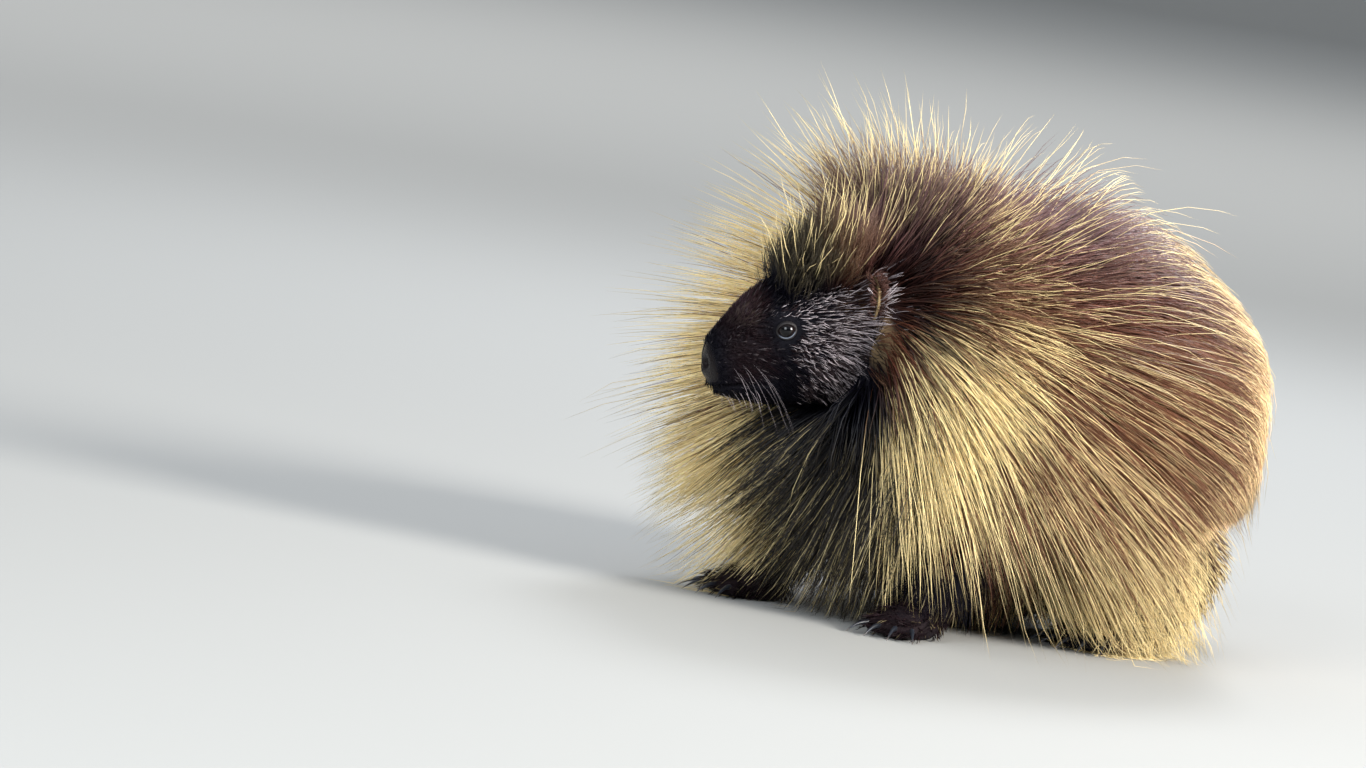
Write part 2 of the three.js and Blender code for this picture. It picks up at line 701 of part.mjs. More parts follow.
function addPart(name, material, geometries, { minus = [], within = [], locks = [] } = {}) {
  const before = parts.map((part) => part.cutter);
  const kept = within.reduce((solid, room) => solid.intersect(room), joined(geometries));
  const taken = [...before, ...minus];
  parts.push({
    name,
    material,
    flesh: taken.length ? kept.subtract(Manifold.union(taken)) : kept,
    cutter: within.reduce(
      (solid, room) => solid.intersect(room),
      joined(geometries.map((geometry) => grown(geometry))),
    ),
    locks,
  });
}

for (const { name, sign } of SIDES) addPart("eye_" + name, EYE_BLACK, [eyeball(sign)]);

const nostrils = SIDES.map(({ sign }) => {
  const centre = headPoint(NOSTRIL.back, NOSTRIL.rise, sign * NOSTRIL.side);
  return solidOf(ellipsoid(centre, NOSTRIL.radii, headBasis, [8, 6]));
});
const lips = [1, -1].map((way) => alongMouth(MOUTH.rise + way * MOUTH.lip, MOUTH.lip, MOUTH.lip, 4));
const mouth = solidOf(alongMouth(MOUTH.rise, MOUTH.depth, MOUTH.gap, 4));
addPart("head", FACE, [head.geometry, ...lips, ...SIDES.map(({ sign }) => lids(sign))], {
  minus: [...nostrils, mouth],
  locks: [...crownCoat(), ...cheekCoat()],
});
for (const { name, sign } of SIDES) {
  const { shell, hollow } = ear(sign);
  addPart("ear_" + name, FACE, [shell], { minus: [solidOf(hollow)] });
}
addPart("torso", COAT, [torso.geometry], { locks: [...torsoCoat(), ...chestCoat()] });

const LIMBS = [
  { kind: "fore", stations: FORELEG, form: FOREFOOT },
  { kind: "hind", stations: HINDLEG, form: HINDFOOT },
];
for (const { kind, stations, form } of LIMBS) {
  for (const { name, sign } of SIDES) {
    const stance = STANCE[kind + "_" + name];
    const { pieces, claws } = foot(form, sign, stance);
    addPart(kind + "foot_" + name, LIMB, pieces, { within: [aboveFloor] });
    const leg = loft(mirrored(stations, sign, stance.step), FORWARD, { rings: 7, sides: 12 });
    const locks = kind === "fore" ? forelegCoat(leg, 60 + sign) : [];
    addPart(kind + "leg_" + name, LIMB, [leg.geometry], { locks });
    claws.forEach((line, i) => addPart(kind + "_claw_" + name + "_" + (i + 1), CLAW_HORN, [claw(line)]));
  }
}

// The tail is in two parts, its base and the end that lies on the floor
const { centre: splitAt, ahead: alongTail } = tail.frame(TAIL_SPLIT);
const tailLocks = tailCoat();
const tailEnds = [
  { name: "tail_base", way: -1, locks: tailLocks.filter(({ t }) => t < TAIL_SPLIT) },
  { name: "tail_tip", way: 1, locks: tailLocks.filter(({ t }) => t > TAIL_SPLIT) },
];
for (const { name, way, locks } of tailEnds) {
  const towards = alongTail.clone().multiplyScalar(way);
  const half = room().translate(0, 0, ROOM / 2 + GAP / 2);
  half.applyQuaternion(new THREE.Quaternion().setFromUnitVectors(UP, towards));
  const side = solidOf(half.translate(splitAt.x, splitAt.y, splitAt.z));
  addPart(name, COAT, [tail.geometry], { within: [aboveFloor, side], locks });
}
addPart("neck", MANE, [neck.geometry], { locks: neckCoat() });

// A root that lies under another part grows no lock
const PROBE = { radius: 1.5, shares: [0.04, 0.18, 0.32] };

function startsFree(spec, others) {
  const path = lockPath(spec);
  return PROBE.shares.every((share) => {
    const { x, y, z } = path(share);
    const probe = solidOf(new THREE.SphereGeometry(PROBE.radius, 4, 3).translate(x, y, z));
    return probe.intersect(others).isEmpty();
  });
}

// Locks grow from their own part, cut clear of every other part and of the locks before them
const LOCK_ORDER = ["head", "neck", "foreleg_left", "foreleg_right", "tail_tip", "tail_base", "torso"];
const lockCutters = [];
for (const name of LOCK_ORDER) {
  const part = parts.find((one) => one.name === name);
  const others = Manifold.union(parts.filter((one) => one !== part).map((one) => one.cutter));
  const free = part.locks.filter((spec) => spec.length > SHORTEST_LOCK && startsFree(spec, others));
  const whole = joined(free.map((spec) => lock(spec))).intersect(clearRoom);
  const locks = whole.subtract(Manifold.union([others, ...lockCutters]));
  part.flesh = part.flesh.add(locks);
  lockCutters.push(joined(free.map((spec) => lock(spec, GAP))));
}

// A node keeps only its largest closed surface
function nodeOf({ name, material, flesh }) {
  const bodies = flesh.decompose().sort((a, b) => b.volume() - a.volume());
  const mesh = new THREE.Mesh(geometryOf(bodies[0]), material);
  mesh.name = name;
  return mesh;
}

const porcupine = new THREE.Group();
for (const part of parts) porcupine.add(nodeOf(part));

// The origin is on the floor, under the middle of the whole model
const middle = new THREE.Box3().setFromObject(porcupine).getCenter(new THREE.Vector3());
porcupine.position.set(-middle.x, -middle.y, 0);

export default porcupine;
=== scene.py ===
"""Skin, eyes, claws and coat of a still, life-size porcupine, built round its solids."""

import itertools
import json
import math
from functools import lru_cache

import bpy
import numpy as np
from mathutils import Matrix, Vector
from mathutils.kdtree import KDTree

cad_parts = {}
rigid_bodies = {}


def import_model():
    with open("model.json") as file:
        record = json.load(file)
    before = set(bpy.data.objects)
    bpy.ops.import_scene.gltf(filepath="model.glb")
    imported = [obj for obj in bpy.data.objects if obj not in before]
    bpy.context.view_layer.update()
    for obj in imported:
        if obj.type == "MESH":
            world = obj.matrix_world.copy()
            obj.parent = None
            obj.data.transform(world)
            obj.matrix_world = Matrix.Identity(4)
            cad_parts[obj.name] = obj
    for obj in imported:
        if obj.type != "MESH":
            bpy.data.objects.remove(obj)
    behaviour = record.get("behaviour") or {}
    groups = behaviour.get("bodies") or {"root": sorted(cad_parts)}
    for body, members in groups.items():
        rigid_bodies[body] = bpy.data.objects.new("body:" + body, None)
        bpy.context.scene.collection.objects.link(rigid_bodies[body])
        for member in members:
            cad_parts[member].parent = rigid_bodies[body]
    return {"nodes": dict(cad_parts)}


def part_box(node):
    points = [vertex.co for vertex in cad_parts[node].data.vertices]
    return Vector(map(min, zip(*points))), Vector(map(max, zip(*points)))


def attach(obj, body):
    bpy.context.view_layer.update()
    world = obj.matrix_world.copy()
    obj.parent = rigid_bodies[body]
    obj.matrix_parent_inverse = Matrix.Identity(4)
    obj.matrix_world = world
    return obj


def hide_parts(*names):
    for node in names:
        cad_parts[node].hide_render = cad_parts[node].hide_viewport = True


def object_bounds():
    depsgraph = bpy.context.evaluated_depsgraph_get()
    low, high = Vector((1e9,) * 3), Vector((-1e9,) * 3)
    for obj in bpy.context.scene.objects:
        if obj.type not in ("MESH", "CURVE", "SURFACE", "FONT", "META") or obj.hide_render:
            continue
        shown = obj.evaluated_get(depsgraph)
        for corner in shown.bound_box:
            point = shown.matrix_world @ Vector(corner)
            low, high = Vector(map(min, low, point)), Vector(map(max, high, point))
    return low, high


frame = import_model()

bl_info = {
    "name": "Porcupine model",
    "version": (1, 0, 0),
    "blender": (4, 5, 0),
    "location": "3D View > Sidebar > Porcupine",
    "description": "Skin, eyes, claws and coat of a still, life-size porcupine",
    "category": "Object",
}

CAD_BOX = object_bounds()

# Body stations, in metres, facing -Y with the animal's left at +X: a place, then half the
# width and the heights above and below it
TORSO = [
    ((0, -0.128, 0.152), (0.010, 0.012, 0.012)),
    ((0, -0.112, 0.152), (0.052, 0.056, 0.060)),
    ((0, -0.078, 0.150), (0.078, 0.084, 0.088)),
    ((0, -0.030, 0.148), (0.094, 0.098, 0.098)),
    ((0, 0.025, 0.146), (0.102, 0.106, 0.100)),
    ((0, 0.080, 0.140), (0.099, 0.102, 0.094)),
    ((0, 0.122, 0.130), (0.080, 0.084, 0.080)),
    ((0, 0.148, 0.118), (0.046, 0.050, 0.050)),
    ((0, 0.158, 0.112), (0.010, 0.012, 0.012)),
]
NECK = [
    ((-0.030, -0.138, 0.186), (0.014, 0.014, 0.014)),
    ((-0.028, -0.124, 0.186), (0.040, 0.042, 0.044)),
    ((-0.015, -0.100, 0.180), (0.058, 0.058, 0.062)),
    ((-0.005, -0.076, 0.172), (0.070, 0.064, 0.070)),
    ((0, -0.052, 0.160), (0.058, 0.058, 0.060)),
    ((0, -0.038, 0.155), (0.016, 0.016, 0.016)),
]
TAIL = [
    ((0, 0.124, 0.104), (0.026, 0.024, 0.024)),
    ((-0.001, 0.152, 0.084), (0.033, 0.027, 0.027)),
    ((-0.014, 0.182, 0.054), (0.031, 0.023, 0.025)),
    ((-0.046, 0.202, 0.029), (0.028, 0.019, 0.021)),
    ((-0.088, 0.206, 0.0165), (0.024, 0.016, 0.0175)),
    ((-0.126, 0.198, 0.0125), (0.018, 0.013, 0.0135)),
    ((-0.154, 0.184, 0.009), (0.009, 0.009, 0.0096)),
    ((-0.162, 0.178, 0.008), (0.003, 0.003, 0.003)),
]
FORELEG = [
    ((0.056, -0.078, 0.124), (0.026, 0.030, 0.030)),
    ((0.062, -0.090, 0.088), (0.027, 0.030, 0.030)),
    ((0.066, -0.102, 0.054), (0.020, 0.022, 0.022)),
    ((0.066, -0.110, 0.030), (0.0165, 0.018, 0.018)),
    ((0.066, -0.114, 0.012), (0.012, 0.013, 0.013)),
]
HINDLEG = [
    ((0.058, 0.070, 0.122), (0.032, 0.044, 0.042)),
    ((0.067, 0.058, 0.084), (0.029, 0.040, 0.036)),
    ((0.071, 0.066, 0.048), (0.021, 0.025, 0.025)),
    ((0.070, 0.074, 0.026), (0.0165, 0.018, 0.018)),
    ((0.070, 0.076, 0.012), (0.012, 0.012, 0.012)),
]
FOREFOOT = {"at": (0.066, -0.126, 0.009), "radii": (0.019, 0.027, 0.013),
            "toes": 4, "spread": 0.5, "reach": 0.027, "toe": 0.0062}
HINDFOOT = {"at": (0.071, 0.054, 0.010), "radii": (0.020, 0.042, 0.013),
            "toes": 5, "spread": 0.55, "reach": 0.040, "toe": 0.006}
TOE = {"length": 0.015, "root": 0.62, "splay": 0.06, "plump": 0.85, "rise": 0.001, "drop": 0.0006}
CLAW = {"length": 0.019, "radius": 0.0025, "rise": 0.0012, "arch": 0.0016,
        "drop": 0.0005, "taper": 0.8, "slim": 0.8, "sink": 0.004}
STANCE = {
    "fore_left": (0.008, 0.42),
    "fore_right": (-0.014, 0.12),
    "hind_left": (0, 0.2),
    "hind_right": (0.026, 0.2),
}

# The head, by distance behind the nose and rise over its line
NOSE = np.array((-0.075, -0.206, 0.153))
HEAD_TURN = math.radians(28)
HEAD_PITCH = math.radians(22)
HEAD = [
    (0.136, -0.004, (0.008, 0.008, 0.008)),
    (0.124, -0.004, (0.027, 0.027, 0.027)),
    (0.100, -0.002, (0.038, 0.038, 0.040)),
    (0.074, -0.001, (0.040, 0.041, 0.043)),
    (0.050, -0.002, (0.034, 0.038, 0.041)),
    (0.032, -0.004, (0.027, 0.031, 0.035)),
    (0.016, -0.006, (0.021, 0.023, 0.026)),
    (0.005, -0.007, (0.0155, 0.017, 0.018)),
    (0, -0.007, (0.007, 0.008, 0.008)),
]
EYE = {"back": 0.053, "rise": 0.009, "side": 0.0315, "radius": 0.006, "forward": 0.28}
EAR = {"back": 0.110, "rise": 0.015, "side": 0.037, "radii": (0.013, 0.006, 0.017),
       "wall": 0.0022, "tilt": 0.5, "lean": 0.35}
NOSTRIL = {"back": 0.0015, "rise": -0.003, "side": 0.0055, "radius": 0.0026, "depth": 0.0045}
MOUTH = {"rise": -0.019, "drop": 0.005, "corner": 0.036, "gap": 0.0008, "depth": 0.0032, "lip": 0.0026}

# How deep the coat stands over the skin, at the side, over and under each part
COAT_DEPTH = {"torso": (0.020, 0.024, 0.004), "neck": (0.013, 0.026, 0.014)}

# The lie of the coat
SLOPE_ALONG = ((-0.120, 0.45), (-0.050, 1.3), (0.000, 1.15), (0.050, 0.6), (0.110, 0.3))
SLOPE_UP = ((0.040, 0.35), (0.190, 1.9))
RISE = {"shoulder": 0.3, "rump": 0.08, "crest": 0.4}
DROOP = {"flank": 0.22, "back": 0.1, "rump": 0.35}
BODY_Y = {"shoulder": -0.120, "crest_end": 0, "rump": 0.070, "end": 0.125}
BODY_Z = {"low": 0.040, "high": 0.190}
SHOULDER_RUFF = {"y": (0.040, 0.095), "x": (0.010, 0.060)}
TORSO_LENGTH = {"shoulder": 0.105, "rump": 0.070, "flank": 0.110, "hind": 0.048}
HIND = {"y": (0.030, 0.090), "z": (0.125, 0.165)}
LIFT = {"crown": 1.25, "tail": 0.4}

# The ruff by its turn round the neck: the way it stands out and its length
RUFF = [
    (-58, (0.1, -0.05, -0.98), 0.090),
    (-25, (0.35, 0.05, -0.93), 0.112),
    (15, (0.7, 0.4, -0.55), 0.100),
    (55, (0.45, 0.45, 0.7), 0.070),
    (90, (0, 0, 1), 0.070),
    (115, (-0.45, -0.5, 0.75), 0.110),
    (145, (-0.6, -0.65, 0.5), 0.126),
    (175, (-0.65, -0.7, 0.05), 0.118),
    (205, (-0.6, -0.68, -0.4), 0.116),
    (236, (-0.5, -0.5, -0.75), 0.110),
]

# Where the neck's long hair comes in behind the cheek, along Y
NECK_FRONT = (-0.138, -0.130)
# Where the neck's coat takes over from the trunk's, and how far either is felt past their join
NECK_JOIN = {"y": (-0.090, -0.055), "soft": 0.014, "droop": 0.06}
# In front of this the trunk grows the chest's dark hair in place of guard hair
CHEST_FRONT = -0.102
# The throat: how far it reaches to the left, and the ways its hair falls at its right and left
THROAT = {"side": 0.020, "right": (-0.75, -0.75, -0.75), "left": (0.0, -0.3, -1.0)}

UP = np.array((0.0, 0.0, 1.0))
FORWARD = np.array((0.0, -1.0, 0.0))
SIDES = (("left", 1), ("right", -1))
# Size of a hair's patch on the unwrapped skin
PATCH = 0.003
# The lowest that skin comes to the floor, and how near points are merged
FLOOR_CLEAR = 0.0006
MERGE = 1e-6

# Where the markings lie, behind the nose, over its line and to its side, or in the body's frame. Two
# numbers are an edge. Four are a band, which comes in between the first two and goes out between
# the last two
MARKS = {
    "face": {"back": (-0.03, -0.01, 0.085, 0.105), "side": (0.05, 0.07)},
    # The muzzle's top: partly its own purple-brown fur, partly a painted highlight over the nose bridge
    "muzzle_tone_and_sheen": {"back": (0.006, 0.02, 0.03, 0.05), "rise": (-0.024, -0.012)},
    "ear": {"back": (0.085, 0.1, 0.125, 0.14), "rise": (0.03, 0.05), "rust": (-0.005, 0.01)},
    # Black painted in the shadow behind the ears
    "ear_shadow": {"back": (0.113, 0.12, 0.13, 0.142), "rise": (-0.015, -0.003, 0.028, 0.045),
                "side": (0.02, 0.03)},
    "throat": {"x": (0.055, 0.075), "y": (-0.085, -0.06), "z": (0.15, 0.2)},
    "low": {"z": (0.055, 0.09)},
    "fore_feet": {"y": (-0.05, -0.03), "z": (0.02, 0.035)},
}

# How many hairs each piece has when full, and the seed of its random draws
HAIRS = {
    "underfur_left": (11500, 3),
    "underfur_right": (5500, 5),
    "back_left": (3000, 7),
    "back_right": (2300, 11),
    "flank_left": (9000, 13),
    "flank_right": (4500, 17),
    "ruff_left": (4200, 19),
    "ruff_right": (7400, 29),
    "crown": (3300, 31),
    "face_fur": (8800, 37),
    "cheek_dashes": (460, 61),
    "cheek_fur": (3600, 41),
    "ear_fur_left": (620, 68),
    "ear_fur_right": (620, 66),
    "chest_fur": (5400, 43),
    "limb_fur": (4600, 47),
    "tail_bristles": (2800, 53),
    "stray_hair": (360, 71),
    "hind_wool": (2000, 73),
}


def tone(code):
    """The linear colour of a six-figure screen colour."""
    parts = [int(code[i:i + 2], 16) / 255 for i in (0, 2, 4)]
    return tuple(p / 12.92 if p <= 0.04045 else ((p + 0.055) / 1.055) ** 2.4 for p in parts)


# Settings

def colour_setting(name, description, code):
    return bpy.props.FloatVectorProperty(
        name=name, description=description, default=tone(code), subtype="COLOR", min=0, max=1)


class PelageSettings(bpy.types.PropertyGroup):
    """Colours and build of the coat."""

    straw: colour_setting("Straw", "Pale outer part of the guard hairs", "ead49c")
    # Peach is painted sunlight: a warm highlight on the hair tips low on the rear flank and rump
    sunlit_peach: colour_setting("Peach", "Warmer tips low on the flank", "ffdab8")
    umber: colour_setting("Umber", "Brown roots and underfur", "613625")
    # Plum is painted sheen: the sky's purple-blue sheen on the upward-facing fur of the back, and partly a
    # painted highlight on the muzzle
    plum_sheen: colour_setting("Plum", "Purple-brown underfur along the back", "604a52")
    soot: colour_setting("Soot", "Black of the face, throat and legs", "06050f")
    frost: colour_setting("Frost", "Grey-white hairs on the cheeks", "cbc0c4")
    rust: colour_setting("Rust", "Reddish fur on the ears and feet", "48281b")
    hair_radius: bpy.props.FloatProperty(
        name="Hair radius", description="Half the thickness of a guard hair", default=0.00031,
        min=0.0001, max=0.002, precision=5, subtype="DISTANCE", unit="LENGTH")
    clump: bpy.props.FloatProperty(
        name="Clumping", description="How far hairs draw together towards their tips",
        default=0.5, min=0, max=1, subtype="FACTOR")
    fullness: bpy.props.FloatProperty(
        name="Fullness", description="Share of the full number of hairs", default=1.0,
        min=0.05, max=1, subtype="FACTOR")


class SkinSettings(bpy.types.PropertyGroup):
    """Build of the skin under the coat."""

    grain: bpy.props.FloatProperty(
        name="Grain", description="Size of the cells the body's skin is drawn together with",
        default=0.0034, min=0.002, max=0.01, precision=4, subtype="DISTANCE", unit="LENGTH")
    ease: bpy.props.IntProperty(
        name="Ease", description="Passes that ease one part into the next", default=6, min=0, max=40)
    fur_bump: bpy.props.FloatProperty(
        name="Fur bump", description="Height of the short fur's relief", default=0.0006,
        min=0, max=0.005, precision=5, subtype="DISTANCE", unit="LENGTH")


class StudioSettings(bpy.types.PropertyGroup):
    """Floor, lights and camera."""

    floor: colour_setting("Floor", "Pale floor and backdrop", "a9a9a6")
    azimuth: bpy.props.FloatProperty(
        name="Azimuth", description="Camera turn round the animal, from its front towards its left",
        default=math.radians(50), subtype="ANGLE", unit="ROTATION")
    elevation: bpy.props.FloatProperty(
        name="Elevation", description="Camera angle over the floor", default=math.radians(4.5),
        subtype="ANGLE", unit="ROTATION")
    roll: bpy.props.FloatProperty(
        name="Roll", description="Turn of the camera for the slope that the animal stood on",
        default=math.radians(9), subtype="ANGLE", unit="ROTATION")
    distance: bpy.props.FloatProperty(
        name="Distance", description="Camera distance from its target", default=4.5,
        min=1, max=12, subtype="DISTANCE", unit="LENGTH")
    lens: bpy.props.FloatProperty(
        name="Lens", description="Focal length in millimetres", default=179.7, min=20, max=400)


def pelage():
    return bpy.context.scene.porcupine_pelage


# Vectors in rows

def unit(v):
    return v / np.maximum(np.linalg.norm(v, axis=-1, keepdims=True), 1e-12)


def dot(a, b):
    return (a * b).sum(-1, keepdims=True)


def smooth(x, low, high):
    """0 below low, 1 over high, eased between them."""
    share = np.clip((x - low) / (high - low), 0, 1)
    return share * share * (3 - 2 * share)


def band(x, start, full, leave, gone):
    """0 outside start and gone, 1 between full and leave, eased between them."""
    return smooth(x, start, full) * (1 - smooth(x, leave, gone))


def blend(a, b, share):
    return a + (b - a) * share


def smooth_curve(points, t):
    """Centripetal Catmull-Rom curve through points, at shares t of their count."""
    points = np.asarray(points, float)
    last = len(points) - 1
    place = np.clip(t, 0, 1) * last
    i = np.minimum(place.astype(int), last - 1)
    w = (place - i)[:, None]
    padded = np.concatenate([[2 * points[0] - points[1]], points, [2 * points[-1] - points[-2]]])
    p0, p1, p2, p3 = (padded[i + k] for k in range(4))
    d0, d1, d2 = (np.sqrt(np.linalg.norm(b - a, axis=1, keepdims=True))
                  for a, b in ((p0, p1), (p1, p2), (p2, p3)))
    d1 = np.where(d1 < 1e-4, 1.0, d1)
    d0 = np.where(d0 < 1e-4, d1, d0)
    d2 = np.where(d2 < 1e-4, d1, d2)
    m1 = ((p1 - p0) / d0 - (p2 - p0) / (d0 + d1) + (p2 - p1) / d1) * d1
    m2 = ((p2 - p1) / d1 - (p3 - p1) / (d1 + d2) + (p3 - p2) / d2) * d1
    return (p1 + m1 * w + (-3 * p1 + 3 * p2 - 2 * m1 - m2) * w ** 2
            + (2 * p1 - 2 * p2 + m1 + m2) * w ** 3)


# The head's own axes
head_forward = np.array((-math.sin(HEAD_TURN) * math.cos(HEAD_PITCH),
                         -math.cos(HEAD_TURN) * math.cos(HEAD_PITCH),
                         -math.sin(HEAD_PITCH)))
head_left = np.array((math.cos(HEAD_TURN), -math.sin(HEAD_TURN), 0.0))
head_up = np.cross(head_forward, head_left)


def head_point(back, rise, side):
    back, rise, side = (np.asarray(x, float)[..., None] for x in (back, rise, side))
    return NOSE - head_forward * back + head_up * rise + head_left * side


def head_place(points):
    """Distance behind the nose, rise and distance to the left of points."""
    off = points - NOSE
    return -(off @ head_forward), off @ head_up, off @ head_left


def eye_centre(sign):
    return head_point(EYE["back"], EYE["rise"], sign * EYE["side"])


def eye_axis(sign):
    return unit(head_left * sign + head_forward * EYE["forward"])


def ear_centre(sign):
    return head_point(EAR["back"], EAR["rise"], sign * EAR["side"])


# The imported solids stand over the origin, so everything is moved from the body's own place by this
eye_low, eye_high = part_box("eye_left")
SHIFT = np.array((eye_low + eye_high) / 2) - eye_centre(1)


class Loft:
    """A limb or trunk: smooth curves through its stations, an oval section square to its line."""

    def __init__(self, stations, up, square=2.0):
        self.line = np.array([at for at, _ in stations], float)
        self.sizes = np.array([size for _, size in stations], float)
        self.up = np.array(up, float)
        self.power = 2 / square

    def frame(self, t):
        centre = smooth_curve(self.line, t)
        ahead = unit(smooth_curve(self.line, np.minimum(1, t + 0.01))
                     - smooth_curve(self.line, np.maximum(0, t - 0.01)))
        top = unit(self.up - dot(self.up, ahead) * ahead)
        return centre, ahead, top, np.cross(ahead, top), smooth_curve(self.sizes, t)

    def point(self, t, turn):
        centre, _, top, side, size = self.frame(t)
        flat = np.sign(np.cos(turn)) * np.abs(np.cos(turn)) ** self.power
        high = np.sign(np.sin(turn)) * np.abs(np.sin(turn)) ** self.power
        tall = np.where(high > 0, size[:, 1], size[:, 2])
        return centre + side * (size[:, 0] * flat)[:, None] + top * (tall * high)[:, None]

    def locate(self, points):
        """Share along the line, turn round it and gap outside the surface of points."""
        steps = np.linspace(0, 1, 121)
        line = smooth_curve(self.line, steps)
        far = (points ** 2).sum(1)[:, None] - 2 * points @ line.T + (line ** 2).sum(1)
        t = steps[far.argmin(1)]
        centre, ahead, top, side, size = self.frame(t)
        off = points - centre
        x = dot(off, side)[:, 0] / size[:, 0]
        y = dot(off, top)[:, 0]
        y = y / np.where(y > 0, size[:, 1], size[:, 2])
        beyond = np.abs(dot(off, ahead)[:, 0])
        gap = (np.hypot(x, y) - 1) * size.mean(1)
        gap = np.where((t < 0.004) | (t > 0.996), np.maximum(gap, 0) + beyond, gap)
        return t, np.arctan2(y, x), gap

    def wrap(self, rows):
        """A place for each point of a grid: round by u and along by v, closed at both ends."""
        def place(u, v):
            row = np.rint(v * (rows + 1))
            t = np.clip((row - 1) / (rows - 1), 0, 1)
            points = self.point(t, 2 * math.pi * u)
            centre, ahead, _, _, size = self.frame(t)
            for end, way in ((row == 0, -1), (row == rows + 1, 1)):
                points[end] = (centre + way * 0.5 * size[:, :1] * ahead)[end]
            return points
        return place


def limb(stations, sign, step):
    return Loft([((x * sign, y + step, z), size) for (x, y, z), size in stations], FORWARD)


torso = Loft(TORSO, UP, 2.1)
neck = Loft(NECK, UP)
head = Loft([(head_point(back, rise, 0), size) for back, rise, size in HEAD], head_up, 2.15)
tail = Loft(TAIL, UP)
legs = {f"{kind}leg_{name}": limb(stations, sign, STANCE[f"{kind}_{name}"][0])
        for kind, stations in (("fore", FORELEG), ("hind", HINDLEG)) for name, sign in SIDES}
LOFTS = {"torso": torso, "neck": neck, "head": head, "tail": tail, **legs}


# Mesh making

def deselect():
    if bpy.context.object and bpy.context.object.mode != "OBJECT":
        bpy.ops.object.mode_set(mode="OBJECT")
    bpy.ops.object.select_all(action="DESELECT")


def pick(*objs):
    deselect()
    for obj in objs:
        obj.select_set(True)
    bpy.context.view_layer.objects.active = objs[0]


def coordinates(obj):
    co = np.empty(len(obj.data.vertices) * 3)
    obj.data.vertices.foreach_get("co", co)
    return co.reshape(-1, 3)


def set_coordinates(obj, co):
    obj.data.vertices.foreach_set("co", co.ravel())
    obj.data.update()


def wrapped(name, place, columns, rows):
    """A grid wrapped round a form: place gives the point at shares u round and v along it."""
    deselect()
    bpy.ops.mesh.primitive_grid_add(x_subdivisions=columns, y_subdivisions=rows, size=1)
    obj = bpy.context.object
    obj.name = obj.data.name = name
    grid = coordinates(obj)
    set_coordinates(obj, place(grid[:, 0] + 0.5, grid[:, 1] + 0.5) + SHIFT)
    bpy.ops.object.mode_set(mode="EDIT")
    bpy.ops.mesh.select_all(action="SELECT")
    bpy.ops.mesh.remove_doubles(threshold=MERGE)
    bpy.ops.mesh.normals_make_consistent(inside=False)
    bpy.ops.object.mode_set(mode="OBJECT")
    return obj


def joined(name, objs):
    pick(*objs)
    bpy.ops.object.join()
    obj = bpy.context.object
    obj.name = obj.data.name = name
    return obj


def apply_modifier(obj, kind, **settings):
    pick(obj)
    modifier = obj.modifiers.new(kind.lower(), kind)
    for key, value in settings.items():
        setattr(modifier, key, value)
    bpy.ops.object.modifier_apply(modifier=modifier.name)


def give_attribute(mesh, name, values):
    layer = mesh.attributes.new(name, "FLOAT", "POINT")
    layer.data.foreach_set("value", np.ascontiguousarray(values, np.float32))


def finish_piece(obj, material, nodes=()):
    """Gives a piece its material and its body, and hides the nodes that it stands for."""
    obj.data.materials.clear()
    obj.data.materials.append(material)
    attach(obj, "root")
    if nodes:
        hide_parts(*nodes)


def ball(centre, radii, basis):
    """An ellipsoid with its own axes, for wrapped()."""
    def place(u, v):
        turn, lean = 2 * math.pi * u, math.pi * (v - 0.5)
        local = np.stack([np.cos(lean) * np.cos(turn), np.cos(lean) * np.sin(turn), np.sin(lean)], 1)
        return centre + (local * radii) @ np.array(basis)
    return place


def turned(v, angle):
    c, s = math.cos(angle), math.sin(angle)
    return np.array((c * v[0] - s * v[1], s * v[0] + c * v[1], v[2]))


def foot(form, sign, stance):
    """Balls of a foot's sole and toes, and the lines of its claws."""
    step, turn = stance
    centre = np.array((form["at"][0] * sign, form["at"][1] + step, form["at"][2]))
    toeward = turned(FORWARD, turn * sign)
    balls = [(centre, form["radii"], (np.cross(UP, toeward), -toeward, UP))]
    claws = []
    toe = form["toe"]
    for i in range(form["toes"]):
        angle = form["spread"] * (2 * i / (form["toes"] - 1) - 1)
        way = turned(toeward, angle)
        base = centre + way * form["reach"] * (TOE["root"] - TOE["splay"] * abs(angle))
        base[2] = toe + TOE["rise"]
        tip = base + way * TOE["length"]
        tip[2] = toe - TOE["drop"]
        radii = (toe, TOE["length"] * TOE["plump"], toe)
        balls.append(((base + tip) / 2, radii, (np.cross(UP, way), -way, UP)))
        claws.append((tip - way * CLAW["sink"], way))
    return balls, claws


FEET = {f"{kind}_{name}": foot(form, sign, STANCE[f"{kind}_{name}"])
        for kind, form in (("fore", FOREFOOT), ("hind", HINDFOOT)) for name, sign in SIDES}


# Markings, shared by the skin and the coat

